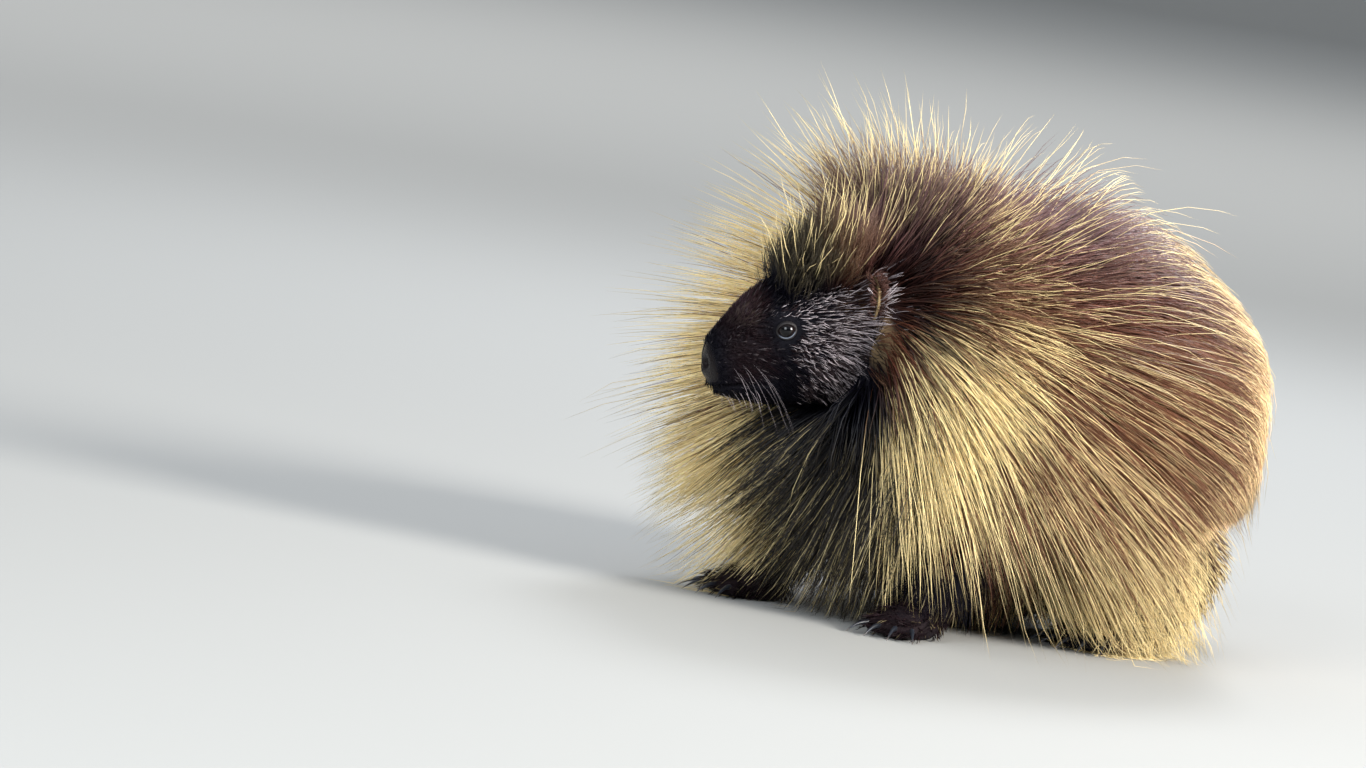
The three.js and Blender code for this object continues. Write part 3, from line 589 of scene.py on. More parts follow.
def marks(p, out):
    """Shares of soot, plum (a painted sheen), rust and pale hair at points of the skin with these outward
    ways.
    """
    back, rise, side = head_place(p)
    x, y, z = p.T
    top = np.clip(out[:, 2], 0, 1)
    on_head = band(back, *MARKS["face"]["back"]) * (1 - smooth(np.abs(side), *MARKS["face"]["side"]))
    throat = (1 - smooth(y, *MARKS["throat"]["y"])) * (1 - smooth(z, *MARKS["throat"]["z"]))
    throat *= 1 - smooth(x, *MARKS["throat"]["x"])
    low = 1 - smooth(z, *MARKS["low"]["z"])
    # The muzzle's top is partly its own purple-brown fur and partly a painted highlight over the nose
    # bridge: it takes less soot, some plum and a little rust
    muzzle_tone_and_sheen = band(back, *MARKS["muzzle_tone_and_sheen"]["back"]) * smooth(rise, *MARKS["muzzle_tone_and_sheen"]["rise"]) * on_head
    soot = np.clip(on_head * (1 - 0.42 * muzzle_tone_and_sheen) + throat + low, 0, 1)
    # Painted sheen: plum on the fur that faces up stands in for the sky's purple-blue sheen along the
    # back; the muzzle's share is partly its own purple-brown and partly a painted highlight
    plum_sheen = np.clip(top ** 4 * (1 - on_head) + muzzle_tone_and_sheen, 0, 1)
    # Black painted in the shadow behind each ear
    gap = band(rise, *MARKS["ear_shadow"]["rise"]) * smooth(np.abs(side), *MARKS["ear_shadow"]["side"])
    soot = np.maximum(soot, band(back, *MARKS["ear_shadow"]["back"]) * gap)
    ears = band(back, *MARKS["ear"]["back"]) * (1 - smooth(rise, *MARKS["ear"]["rise"]))
    ears = 0.4 * ears * smooth(rise, *MARKS["ear"]["rust"])
    feet = (1 - smooth(z, *MARKS["fore_feet"]["z"])) * (1 - smooth(y, *MARKS["fore_feet"]["y"]))
    rust = np.clip(0.12 * muzzle_tone_and_sheen + ears + 0.12 * feet, 0, 1)
    pale = (1 - top ** 0.8) * (1 - soot)
    return {"soot": soot, "plum_sheen": plum_sheen, "rust": rust, "pale": pale}


# Materials

def material(name):
    made = bpy.data.materials.new(name)
    made.use_nodes = True
    return made, made.node_tree, made.node_tree.nodes["Principled BSDF"]


def attribute(tree, name):
    node = tree.nodes.new("ShaderNodeAttribute")
    node.attribute_name = name
    return node.outputs["Fac"]


def object_position(tree):
    return tree.nodes.new("ShaderNodeTexCoord").outputs["Object"]


def plug(tree, socket, value):
    if isinstance(value, bpy.types.NodeSocket):
        tree.links.new(value, socket)
    elif isinstance(value, (int, float)):
        socket.default_value = value
    else:
        socket.default_value = (*value, 1.0)


def mixed(tree, share, a, b):
    node = tree.nodes.new("ShaderNodeMix")
    node.data_type = "RGBA"
    for socket, value in zip((node.inputs[0], node.inputs[6], node.inputs[7]), (share, a, b)):
        plug(tree, socket, value)
    return node.outputs[2]


def maths(tree, operation, a, b):
    node = tree.nodes.new("ShaderNodeMath")
    node.operation = operation
    plug(tree, node.inputs[0], a)
    plug(tree, node.inputs[1], b)
    return node.outputs[0]


def noise(tree, scale, detail=3.0, where=None):
    node = tree.nodes.new("ShaderNodeTexNoise")
    node.inputs["Scale"].default_value = scale
    node.inputs["Detail"].default_value = detail
    tree.links.new(where or object_position(tree), node.inputs["Vector"])
    return node.outputs["Fac"]


def graded(tree, value, low, high):
    """A value spread so that low gives 0 and high gives 1."""
    node = tree.nodes.new("ShaderNodeMapRange")
    node.interpolation_type = "SMOOTHSTEP"
    plug(tree, node.inputs["Value"], value)
    node.inputs["From Min"].default_value = low
    node.inputs["From Max"].default_value = high
    return node.outputs["Result"]


def bump(tree, shader, height, distance):
    node = tree.nodes.new("ShaderNodeBump")
    node.inputs["Distance"].default_value = distance
    tree.links.new(height, node.inputs["Height"])
    tree.links.new(node.outputs["Normal"], shader.inputs["Normal"])


def fur_ground(tree):
    """Colour of the underfur: brown, plum painted as the sky's sheen on the upward-facing fur of the back,
    black on face, throat and legs, and rust in places."""
    fur = pelage()
    ground = mixed(tree, attribute(tree, "plum_sheen"), fur.umber, fur.plum_sheen)
    ground = mixed(tree, attribute(tree, "soot"), ground, fur.soot)
    return mixed(tree, attribute(tree, "rust"), ground, fur.rust)


# How strongly each kind of hair shines
GLOSS = {"guard_hair": 0.32, "dark_hair": 0.1}


@lru_cache
def hair_material(kind):
    """Hair: the underfur's colour at its root, straw or frost where it is pale, each a little
    different."""
    fur = pelage()
    made, tree, shader = material(kind)
    tint = attribute(tree, "tint")
    # Straw turns to peach where painted sunlight falls on the rear flank and rump
    straw = mixed(tree, attribute(tree, "painted_sunlight"), fur.straw, fur.sunlit_peach)
    colour = mixed(tree, attribute(tree, "pale"), fur_ground(tree), straw)
    colour = mixed(tree, attribute(tree, "frost"), colour, fur.frost)
    grain = maths(tree, "MULTIPLY", graded(tree, noise(tree, 60.0), 0.3, 0.7), 0.25)
    light = maths(tree, "ADD", maths(tree, "MULTIPLY", tint, 0.7), grain)
    shade = tree.nodes.new("ShaderNodeHueSaturation")
    tree.links.new(maths(tree, "ADD", light, 0.7), shade.inputs["Value"])
    tree.links.new(colour, shade.inputs["Color"])
    tree.links.new(shade.outputs["Color"], shader.inputs["Base Color"])
    shader.inputs["Roughness"].default_value = 0.42
    shader.inputs["Specular IOR Level"].default_value = GLOSS[kind]
    return made


@lru_cache
def skin_material():
    """Skin under the coat: the same ground with short felted fur in relief, bare at the nose."""
    made, tree, shader = material("skin")
    fine = noise(tree, 900.0, 4.0)
    patchy = graded(tree, noise(tree, 45.0), 0.3, 0.7)
    pale = maths(tree, "MULTIPLY", attribute(tree, "pale"), 0.35)
    colour = mixed(tree, pale, fur_ground(tree), pelage().straw)
    colour = mixed(tree, maths(tree, "MULTIPLY", patchy, 0.4), colour, pelage().soot)
    bare = attribute(tree, "bare")
    colour = mixed(tree, bare, colour, tone("140d0e"))
    tree.links.new(colour, shader.inputs["Base Color"])
    rough = graded(tree, maths(tree, "SUBTRACT", 1.0, bare), -0.3, 1.6)
    tree.links.new(rough, shader.inputs["Roughness"])
    shader.inputs["Specular IOR Level"].default_value = 0.18
    bump(tree, shader, fine, bpy.context.scene.porcupine_skin.fur_bump)
    return made


# The skin

def mouth_rise(back):
    return MOUTH["rise"] - MOUTH["drop"] * (back / MOUTH["corner"]) ** 2


def near(x, width):
    return np.exp(-(x / width) ** 2)


def face_relief(p, out):
    """Moves points of the head's skin for its nose, mouth, lips, brows, cheeks and eye sockets."""
    back, rise, side = head_place(p)
    p = p.copy()
    height = np.zeros(len(p))
    fade = (1 - smooth(back, 0.033, 0.040)) * smooth(back, -0.02, -0.01)
    line = rise - mouth_rise(np.clip(back, 0, MOUTH["corner"]))
    height -= MOUTH["depth"] * near(line, 1.4 * MOUTH["gap"]) * fade
    for way in (1, -1):
        height += 0.0011 * near(line - way * MOUTH["lip"], 0.0016) * fade
    height += 0.0012 * near(back - 0.006, 0.007) * near(rise + 0.004, 0.008)
    split = near(side, 0.0009) * (1 - smooth(back, 0.004, 0.009)) * smooth(line, 0.001, 0.004)
    height -= 0.0016 * split
    height += 0.0022 * near(back - 0.050, 0.012) * near(rise - 0.019, 0.0045)
    height += 0.0020 * near(back - 0.066, 0.018) * near(rise + 0.016, 0.013)
    height -= 0.0012 * near(back - 0.040, 0.008) * near(rise - 0.004, 0.008)
    p += out * height[:, None]
    for _, sign in SIDES:
        pit = head_point(NOSTRIL["back"], NOSTRIL["rise"], sign * NOSTRIL["side"])
        miss = np.linalg.norm(p - pit, axis=1)
        p -= out * (NOSTRIL["depth"] * near(miss, NOSTRIL["radius"] * 1.25))[:, None]
        off = p - eye_centre(sign)
        reach = np.linalg.norm(off, axis=1)
        lean = np.arccos(np.clip((off / reach[:, None]) @ eye_axis(sign), -1, 1))
        inside = (1 - smooth(lean, 1.0, 1.5)) * (reach < 0.016)
        wanted = EYE["radius"] - 0.001
        p += off / reach[:, None] * ((wanted - reach) * inside * (reach > wanted))[:, None]
    return p


def refine(obj, chosen):
    """Subdivides the faces whose middle is chosen by its place in the body's frame."""
    pick(obj)
    centres = np.empty(len(obj.data.polygons) * 3)
    obj.data.polygons.foreach_get("center", centres)
    picked = chosen(centres.reshape(-1, 3) - SHIFT)
    bpy.ops.object.mode_set(mode="EDIT")
    bpy.ops.mesh.select_mode(type="FACE")
    bpy.ops.mesh.select_all(action="DESELECT")
    bpy.ops.object.mode_set(mode="OBJECT")
    obj.data.polygons.foreach_set("select", picked)
    bpy.ops.object.mode_set(mode="EDIT")
    bpy.ops.mesh.subdivide()
    bpy.ops.object.mode_set(mode="OBJECT")


def vertex_normals(mesh):
    normals = np.empty(len(mesh.vertices) * 3)
    mesh.vertex_normals.foreach_get("vector", normals)
    return normals.reshape(-1, 3)


def flesh_nodes():
    return [n for n in frame["nodes"] if "claw" not in n and not n.startswith(("eye", "ear"))]


class PORCUPINE_OT_skin(bpy.types.Operator):
    """Draws trunk, neck, head, tail, legs and feet together in one skin."""

    bl_idname = "porcupine.skin"
    bl_label = "Skin"

    def execute(self, context):
        settings = context.scene.porcupine_skin
        forms = [wrapped(name, loft.wrap(40), 48, 41) for name, loft in LOFTS.items()]
        for name, (balls, _) in FEET.items():
            forms += [wrapped(name, ball(*one), 24, 16) for one in balls]
        skin = joined("skin", forms)
        apply_modifier(skin, "REMESH", mode="VOXEL", voxel_size=settings.grain)
        apply_modifier(skin, "SMOOTH", factor=0.5, iterations=settings.ease)
        refine(skin, lambda p: head_place(p)[0] < 0.078)
        refine(skin, lambda p: (head_place(p)[0] < 0.042) | near_eye(p, 0.014))
        p = coordinates(skin) - SHIFT
        p = face_relief(p, vertex_normals(skin.data))
        p[:, 2] = np.maximum(p[:, 2], FLOOR_CLEAR)
        set_coordinates(skin, p + SHIFT)
        out = vertex_normals(skin.data)
        for name, values in marks(p, out).items():
            give_attribute(skin.data, name, values)
        back, rise, _ = head_place(p)
        bare = (1 - smooth(back, 0.003, 0.007)) * smooth(rise, -0.02, -0.012)
        give_attribute(skin.data, "bare", bare)
        skin.data.shade_smooth()
        finish_piece(skin, skin_material(), flesh_nodes())
        return {"FINISHED"}


def near_ear(p, reach):
    """Which points lie within reach of either ear."""
    return np.any([np.linalg.norm(p - ear_centre(sign), axis=1) < reach for _, sign in SIDES], axis=0)


def near_eye(p, reach):
    return np.any([np.linalg.norm(p - eye_centre(sign), axis=1) < reach for _, sign in SIDES], axis=0)


class PORCUPINE_OT_ears(bpy.types.Operator):
    """Makes the small round ear cups, open forwards and outwards."""

    bl_idname = "porcupine.ears"
    bl_label = "Ears"

    def execute(self, context):
        for name, sign in SIDES:
            ear = wrapped(f"ear_cup_{name}", self.cup(sign), 32, 28)
            ear.data.shade_smooth()
            p = coordinates(ear) - SHIFT
            for key, values in marks(p, vertex_normals(ear.data)).items():
                give_attribute(ear.data, key, np.clip(values + 0.3, 0, 1) if key == "rust" else values)
            give_attribute(ear.data, "bare", np.zeros(len(p)))
            finish_piece(ear, skin_material(), [f"ear_{name}"])
        return {"FINISHED"}

    def cup(self, sign):
        """The outer wall as far as the rim, then back down the hollow."""
        centre = ear_centre(sign)
        upright = unit(head_up + head_left * sign * EAR["tilt"] - head_forward * EAR["lean"])
        across = unit(np.cross(upright, head_forward))
        facing = unit(np.cross(across, upright))
        outwards = unit(facing + head_left * EAR["lean"] * sign)
        wide, thick, tall = EAR["radii"]

        def place(u, v):
            turn = 2 * math.pi * u
            outer = v < 0.62
            lean = np.where(outer, v / 0.62, (1 - v) / 0.38) * math.pi * 0.5
            wall = np.where(outer, 0, EAR["wall"] * (0.35 + 0.65 * np.cos(lean) ** 0.5))
            ring = np.sin(lean)
            depth = np.where(outer, -thick * np.cos(lean), (thick - 2 * EAR["wall"]) * -np.cos(lean))
            sideways = ((wide - wall) * ring * np.cos(turn))[:, None]
            upwards = ((tall - wall) * ring * np.sin(turn))[:, None]
            return centre + across * sideways + upright * upwards + outwards * depth[:, None]
        return place


# Eyes

@lru_cache
def eye_material(sign):
    """A dark, wet eye: brown iris round a wide pupil, by the angle from the eye's own axis."""
    made, tree, shader = material("eye_left" if sign > 0 else "eye_right")
    centre = eye_centre(sign) + SHIFT
    offset = tree.nodes.new("ShaderNodeVectorMath")
    offset.operation = "SUBTRACT"
    tree.links.new(object_position(tree), offset.inputs[0])
    offset.inputs[1].default_value = tuple(centre)
    aim = tree.nodes.new("ShaderNodeVectorMath")
    aim.operation = "DOT_PRODUCT"
    tree.links.new(offset.outputs["Vector"], aim.inputs[0])
    aim.inputs[1].default_value = tuple(eye_axis(sign) / EYE["radius"])
    facing = aim.outputs["Value"]
    iris = mixed(tree, noise(tree, 1400.0), tone("0b0a10"), tone("1d1410"))
    colour = mixed(tree, graded(tree, facing, 0.80, 0.86), iris, tone("020204"))
    colour = mixed(tree, graded(tree, facing, 0.60, 0.52), colour, tone("241a18"))
    tree.links.new(colour, shader.inputs["Base Color"])
    shader.inputs["Roughness"].default_value = 0.1
    shader.inputs["Specular IOR Level"].default_value = 0.15
    shader.inputs["Coat Weight"].default_value = 0.4
    shader.inputs["Coat Roughness"].default_value = 0.02
    return made


@lru_cache
def lid_material():
    """Bare dark lid skin, with pale blue-grey painted along its lower edge as the reflection on its wet
    rim.
    """
    made, tree, shader = material("lid")
    colour = mixed(tree, noise(tree, 700.0), tone("0c090b"), tone("1d1618"))
    # Painted reflection: pale blue-grey along the lower lid's wet edge
    colour = mixed(tree, attribute(tree, "rim"), colour, tone("77808e"))
    tree.links.new(colour, shader.inputs["Base Color"])
    shader.inputs["Roughness"].default_value = 0.6
    bump(tree, shader, noise(tree, 1100.0), 0.0002)
    return made


LID_EDGE = {"wide": 0.98, "over": 0.74, "under": 0.78}
LID_SECTION = [(0, 0.00618), (-0.02, 0.0066), (0.05, 0.0071), (0.22, 0.0072), (0.5, 0.0066),
               (0.72, 0.0056), (0.6, 0.0050), (0.2, 0.0054)]


class PORCUPINE_OT_eyes(bpy.types.Operator):
    """Makes each eyeball, with the bulge of its cornea, and the lids round it."""

    bl_idname = "porcupine.eyes"
    bl_label = "Eyes and lids"

    def execute(self, context):
        for name, sign in SIDES:
            eye = wrapped(f"eyeball_{name}", self.eyeball(sign), 48, 32)
            eye.data.shade_smooth()
            finish_piece(eye, eye_material(sign), [f"eye_{name}"])
            lids = wrapped(f"eyelids_{name}", self.lids(sign), 56, len(LID_SECTION) * 3)
            lids.data.shade_smooth()
            p = coordinates(lids) - SHIFT - eye_centre(sign)
            reach = np.linalg.norm(p, axis=1)
            # The rim share marks the lower lid's edge, where a reflection is painted
            low = smooth(-(p @ head_up) / reach, 0.15, 0.5)
            edge = near(reach - 0.0065, 0.00035) * (p @ eye_axis(sign) / reach > 0.5)
            give_attribute(lids.data, "rim", edge * low)
            finish_piece(lids, lid_material())
        return {"FINISHED"}

    def axes(self, sign):
        facing = eye_axis(sign)
        along = unit(np.cross(head_up, facing))
        return along, np.cross(facing, along), facing

    def eyeball(self, sign):
        along, high, facing = self.axes(sign)

        def place(u, v):
            lean, turn = math.pi * v, 2 * math.pi * u
            radius = EYE["radius"] * (1 + 0.035 * near(lean, 0.55))
            ring = np.sin(lean)[:, None]
            way = facing * np.cos(lean)[:, None] + ring * (
                along * np.cos(turn)[:, None] + high * np.sin(turn)[:, None])
            return eye_centre(sign) + way * radius[:, None]
        return place

    def lids(self, sign):
        along, high, facing = self.axes(sign)
        section = np.array(LID_SECTION + LID_SECTION[:1])

        def place(u, v):
            turn = 2 * math.pi * u
            over = np.where(np.sin(turn) > 0, LID_EDGE["over"], LID_EDGE["under"])
            wide = LID_EDGE["wide"]
            opening = 1 / np.sqrt((np.cos(turn) / wide) ** 2 + (np.sin(turn) / over) ** 2)
            corner = np.abs(np.cos(turn)) ** 10 * 0.14
            stops = np.linspace(0, 1, len(section))
            lean = opening + corner + np.interp(v, stops, section[:, 0])
            radius = np.interp(v, stops, section[:, 1])
            ring = np.sin(lean)[:, None]
            way = facing * np.cos(lean)[:, None] + ring * (
                along * np.cos(turn)[:, None] + high * np.sin(turn)[:, None])
            return eye_centre(sign) + way * radius[:, None]
        return place


# Claws

@lru_cache
def claw_material():
    """Blue-black horn with fine lengthwise streaks and a worn, paler tip."""
    made, tree, shader = material("claw")
    streak = tree.nodes.new("ShaderNodeMapping")
    streak.inputs["Scale"].default_value = (500, 60, 500)
    tree.links.new(object_position(tree), streak.inputs["Vector"])
    grain = noise(tree, 1.0, 3.0, streak.outputs["Vector"])
    colour = mixed(tree, grain, tone("14161c"), tone("2c323c"))
    colour = mixed(tree, attribute(tree, "worn"), colour, tone("6b6058"))
    tree.links.new(colour, shader.inputs["Base Color"])
    shader.inputs["Roughness"].default_value = 0.32
    bump(tree, shader, grain, 0.0001)
    return made


class PORCUPINE_OT_claws(bpy.types.Operator):
    """Makes the long curved claws, each in the place of its own node."""

    bl_idname = "porcupine.claws"
    bl_label = "Claws"

    def execute(self, context):
        for foot_name, (_, lines) in FEET.items():
            kind, name = foot_name.split("_")
            for i, (root, way) in enumerate(lines, 1):
                node = f"{kind}_claw_{name}_{i}"
                claw = wrapped(f"{kind}_horn_{name}_{i}", self.horn(root, way), 14, 24)
                claw.data.shade_smooth()
                along = ((coordinates(claw) - SHIFT - root) @ way) / (CLAW["length"] + CLAW["sink"])
                give_attribute(claw.data, "worn", 0.7 * smooth(along, 0.8, 1.0))
                finish_piece(claw, claw_material(), [node])
        return {"FINISHED"}

    def horn(self, root, way):
        side = np.cross(way, UP)
        length = CLAW["length"] + CLAW["sink"]

        def place(u, t):
            turn = 2 * math.pi * u
            line = root + way * (length * t)[:, None]
            line[:, 2] = blend(root[2] + CLAW["rise"], CLAW["drop"], t * t)
            line[:, 2] += CLAW["arch"] * np.sin(math.pi * t)
            radius = CLAW["radius"] * (1 - CLAW["taper"] * t) * np.sqrt(np.clip(1 - t ** 6, 0, 1))
            radius = radius * smooth(t, -0.01, 0.06)
            keel = 1 + 0.12 * np.cos(2 * turn)
            across = side * (CLAW["slim"] * radius * np.cos(turn))[:, None]
            up = UP * (radius * keel * np.sin(turn))[:, None]
            made = line + across + up
            made[:, 2] = np.maximum(made[:, 2], FLOOR_CLEAR / 2)
            return made
        return place


# Places on the skin where hair grows

class Pelt:
    """The triangles of a piece that hair grows on, with the part that each belongs to."""

    def __init__(self, obj):
        mesh = obj.data
        mesh.calc_loop_triangles()
        corners = np.empty(len(mesh.loop_triangles) * 3, np.int32)
        mesh.loop_triangles.foreach_get("vertices", corners)
        corners = corners.reshape(-1, 3)
        co = coordinates(obj) - SHIFT
        self.points = co[corners]
        self.normals = vertex_normals(mesh)[corners]
        a, b, c = (self.points[:, k] for k in range(3))
        self.area = np.linalg.norm(np.cross(b - a, c - a), axis=1) / 2
        self.middle = self.points.mean(1)
        self.out = unit(self.normals.mean(1))
        self.where = Where(self.middle, self.out)

    def sample(self, count, density, seed):
        """Places drawn evenly over the skin, thinned by a density for each triangle."""
        rng = np.random.default_rng(seed)
        weight = self.area * density
        chosen = rng.choice(len(weight), count, p=weight / weight.sum())
        u, v = rng.random((2, count, 1))
        u, v = np.where(u + v > 1, 1 - u, u), np.where(u + v > 1, 1 - v, v)
        w = 1 - u - v
        share = np.stack([w, u, v], 1)
        roots = (self.points[chosen] * share).sum(1)
        return roots, unit((self.normals[chosen] * share).sum(1)), rng


PARTS = ("torso", "neck", "head", "tail", "legs")


class Where:
    """Which parts points of the skin belong to, and where on each."""

    def __init__(self, p, out):
        self.p, self.out = p, out
        self.at = {name: loft.locate(p) for name, loft in LOFTS.items()}
        self.gap = {name: at[2] for name, at in self.at.items()}
        self.back, self.rise, self.side = head_place(p)
        leg_gap = np.min([self.gap[name] for name in legs], axis=0)
        feet = (p[:, 2] < 0.03) & (leg_gap > -0.02)
        body = np.stack([self.gap["torso"], self.gap["neck"], self.gap["head"], self.gap["tail"],
                         leg_gap], 1)
        self.part = body.argmin(1)
        self.part[feet & (self.part != PARTS.index("tail"))] = PARTS.index("legs")
        self.turn = {name: np.degrees(at[1]) for name, at in self.at.items()}

    def on(self, *names):
        return np.isin(self.part, [PARTS.index(n) for n in names])


@lru_cache
def pelt():
    return Pelt(bpy.data.objects["skin"])


def wrap_turn(degrees):
    """Turns from -90 to 270 degrees."""
    return np.where(degrees < -90, degrees + 360, degrees)


def turn_from_top(degrees):
    return np.abs(degrees - 90)


def lifted(way, out, lift):
    """A way laid along the surface and then lifted off it by an angle."""
    lie = unit(way - dot(way, out) * out)
    lift = np.asarray(lift)[..., None] if np.ndim(lift) else lift
    return lie * np.cos(lift) + out * np.sin(lift)


def ruff_at(degrees):
    """Way and length of the ruff's hair at turns round the neck."""
    turns = [r[0] for r in RUFF]
    way = np.stack([np.interp(degrees, turns, [r[1][k] for r in RUFF]) for k in range(3)], 1)
    return unit(way), np.interp(degrees, turns, [r[2] for r in RUFF])


def torso_lie(where):
    """Way, length and droop of the trunk's guard hairs."""
    p, out = where.p, where.out
    x, y, z = p.T
    top = np.clip(out[:, 2], 0, 1)
    low = 1 - np.clip((z - BODY_Z["low"]) / (BODY_Z["high"] - BODY_Z["low"]), 0, 1)
    rear = smooth(y, BODY_Y["shoulder"], BODY_Y["rump"])
    end = smooth(y, BODY_Y["rump"], BODY_Y["end"])
    crest = top * (1 - smooth(y, BODY_Y["shoulder"], BODY_Y["crest_end"]))
    back = np.interp(y, *zip(*SLOPE_ALONG)) * np.interp(z, *zip(*SLOPE_UP))
    rise = blend(RISE["shoulder"], RISE["rump"], rear) + RISE["crest"] * crest
    flow = lifted(np.stack([0 * back, back, 0 * back - 1], 1), out, rise)
    shoulder = smooth(-y, *SHOULDER_RUFF["y"]) * smooth(-x, *SHOULDER_RUFF["x"])
    ruff, _ = ruff_at(wrap_turn(where.turn["torso"]))
    way = unit(blend(flow, ruff, shoulder[:, None]))
    short = smooth(y, BODY_Y["crest_end"], BODY_Y["end"])
    length = blend(TORSO_LENGTH["shoulder"], TORSO_LENGTH["rump"], short)
    length = blend(length, TORSO_LENGTH["flank"], low * (1 - short))
    droop = DROOP["flank"] * (1 - top) + DROOP["back"] * top * rear + DROOP["rump"] * end
    hind = smooth(y, *HIND["y"]) * (1 - smooth(z, *HIND["z"]))
    hanging = lifted(np.stack([0 * y, 0 * y + 0.1, 0 * y - 1], 1), out, 0.15)
    way = unit(blend(way, hanging, hind[:, None]))
    return way, blend(length, TORSO_LENGTH["hind"], hind), droop


def coat_depth(degrees, part):
    """How far the coat stands over the skin at a turn round the trunk or neck."""
    side, over, under = COAT_DEPTH[part]
    turn = np.radians(degrees)
    tall = np.where(np.sin(turn) > 0, over, under)
    return np.hypot(side * np.cos(turn), tall * np.sin(turn))


def outward(where, name):
    """Ways straight out from a part's line, for hair at a crease, where the skin turns to face it."""
    centre, ahead, *_ = LOFTS[name].frame(where.at[name][0])
    off = where.p - centre
    return unit(off - dot(off, ahead) * ahead)


def body_lie(where):
    """The trunk's lie, eased into the ruff's over the neck."""
    way, length, droop = torso_lie(where)
    ruff_way, ruff_length = ruff_at(wrap_turn(where.turn["neck"]))
    at_neck, at_torso = (near(np.clip(where.gap[name], 0, None), NECK_JOIN["soft"])
                         for name in ("neck", "torso"))
    share = at_neck / (at_neck + at_torso + 1e-9) * (1 - smooth(where.p[:, 1], *NECK_JOIN["y"]))
    way = unit(blend(way, ruff_way, share[:, None]))
    length = blend(length, ruff_length, share)
    droop = blend(droop, NECK_JOIN["droop"], share)
    depth = blend(*(coat_depth(where.turn[name], name) for name in ("torso", "neck")), share)
    return way, length, droop, depth, share


# Strands

# Where the stops lie along a hair, by the number of its rings
STOPS = {
    2: (0, 0.52, 1),
    3: (0, 0.38, 0.72, 1),
    4: (0, 0.27, 0.54, 0.79, 1),
    5: (0, 0.2, 0.42, 0.64, 0.84, 1),
}


def paths_of(roots, out, way, length, droop, depth, rings, sink=0.002):
    """Lines of hairs: out of the skin, then over along the lie, drooping towards the tip."""
    s = np.array(STOPS[rings])[None, :, None]
    stand = 1 - (1 - s) ** 2.5
    length, droop, depth = (np.broadcast_to(x, len(roots))[:, None, None]
                            for x in (length, droop, depth))
    line = roots[:, None] + out[:, None] * (depth * stand - sink * (1 - s) ** 4)
    return line + way[:, None] * length * s - UP * droop * length * s ** 2


def clumped(paths, every, pull, rng, wave=0.0):
    """Draws hairs towards the hair at the middle of their clump, more so towards their tips."""
    count = len(paths)
    heads = rng.choice(count, max(1, count // every), replace=False)
    tree = KDTree(len(heads))
    for i, h in enumerate(heads):
        tree.insert(paths[h, 0], i)
    tree.balance()
    nearest = np.array([tree.find(p)[1] for p in paths[:, 0]])
    leader = paths[heads[nearest]]
    s = np.linspace(0, 1, paths.shape[1])[None, :, None]
    strength = (pull * (0.45 + 0.75 * rng.random(len(heads))))[nearest][:, None, None]
    strength = np.clip(strength * (0.75 + 0.5 * rng.random((count, 1, 1))), 0, 0.93)
    paths = blend(paths, leader, strength * s ** 1.4)
    if wave:
        phase = rng.random((len(heads), 1))[nearest][:, :, None] * 2 * math.pi
        side = unit(rng.normal(size=(len(heads), 3)))[nearest][:, None]
        own = unit(rng.normal(size=(count, 3)))[:, None]
        swing = np.sin(phase + s * 5.0) - np.sin(phase)
        paths = paths + side * wave * swing * s + own * wave * 0.5 * np.sin(2.5 * s) * s
    return paths


# Hair bends back where it would pass the solids' box: from inside its sides, to how far past them
REACH = {"from": -0.008, "to": 0.015}
# The coat slopes off behind: for either side a way out, where hair starts to bend back, and how
# far it gets
REAR_SLOPES = (((0.643, 0.766, 0), 0.142, 0.170), ((0.415, 0.495, 0.763), 0.228, 0.276))
# The long hair of the rump ends in a hem over the hind legs
HEM = {"y": (-0.025, 0.035), "z": 0.098, "least": 0.007}


def hemmed(p, way, length, droop):
    """Lengths cut where hair of the rump would hang below its hem."""
    fall = (droop - way[:, 2]) * length
    room = np.clip(p[:, 2] - HEM["z"], HEM["least"], None)
    return length * blend(1, np.clip(room / np.maximum(fall, 1e-6), 0, 1), smooth(p[:, 1], *HEM["y"]))


def settled(paths, slopes=REAR_SLOPES):
    """Hair laid over the floor, and bent back towards its tip where it would reach too far out."""
    sides = np.where(paths[:, :1, :1] < 0, (-1, 1, 1), (1, 1, 1))
    paths = paths * sides
    for slope, start, end in slopes:
        past = np.clip(paths @ np.array(slope) - start, 0, None)
        give = end - start
        paths = paths - (past - give * np.tanh(past / give))[..., None] * slope
    paths = paths * sides
    low, high = (np.array(corner, float) - SHIFT for corner in CAD_BOX)
    middle, half = (low + high) / 2, (high - low) / 2 + REACH["from"]
    give = REACH["to"] - REACH["from"]
    off = paths - middle
    past = np.clip(np.abs(off) - half, 0, None)
    bent = middle + np.sign(off) * (np.minimum(np.abs(off), half) + give * np.tanh(past / give))
    bent[..., 2] = np.maximum(np.where(off[..., 2] < 0, paths[..., 2], bent[..., 2]), FLOOR_CLEAR)
    return bent


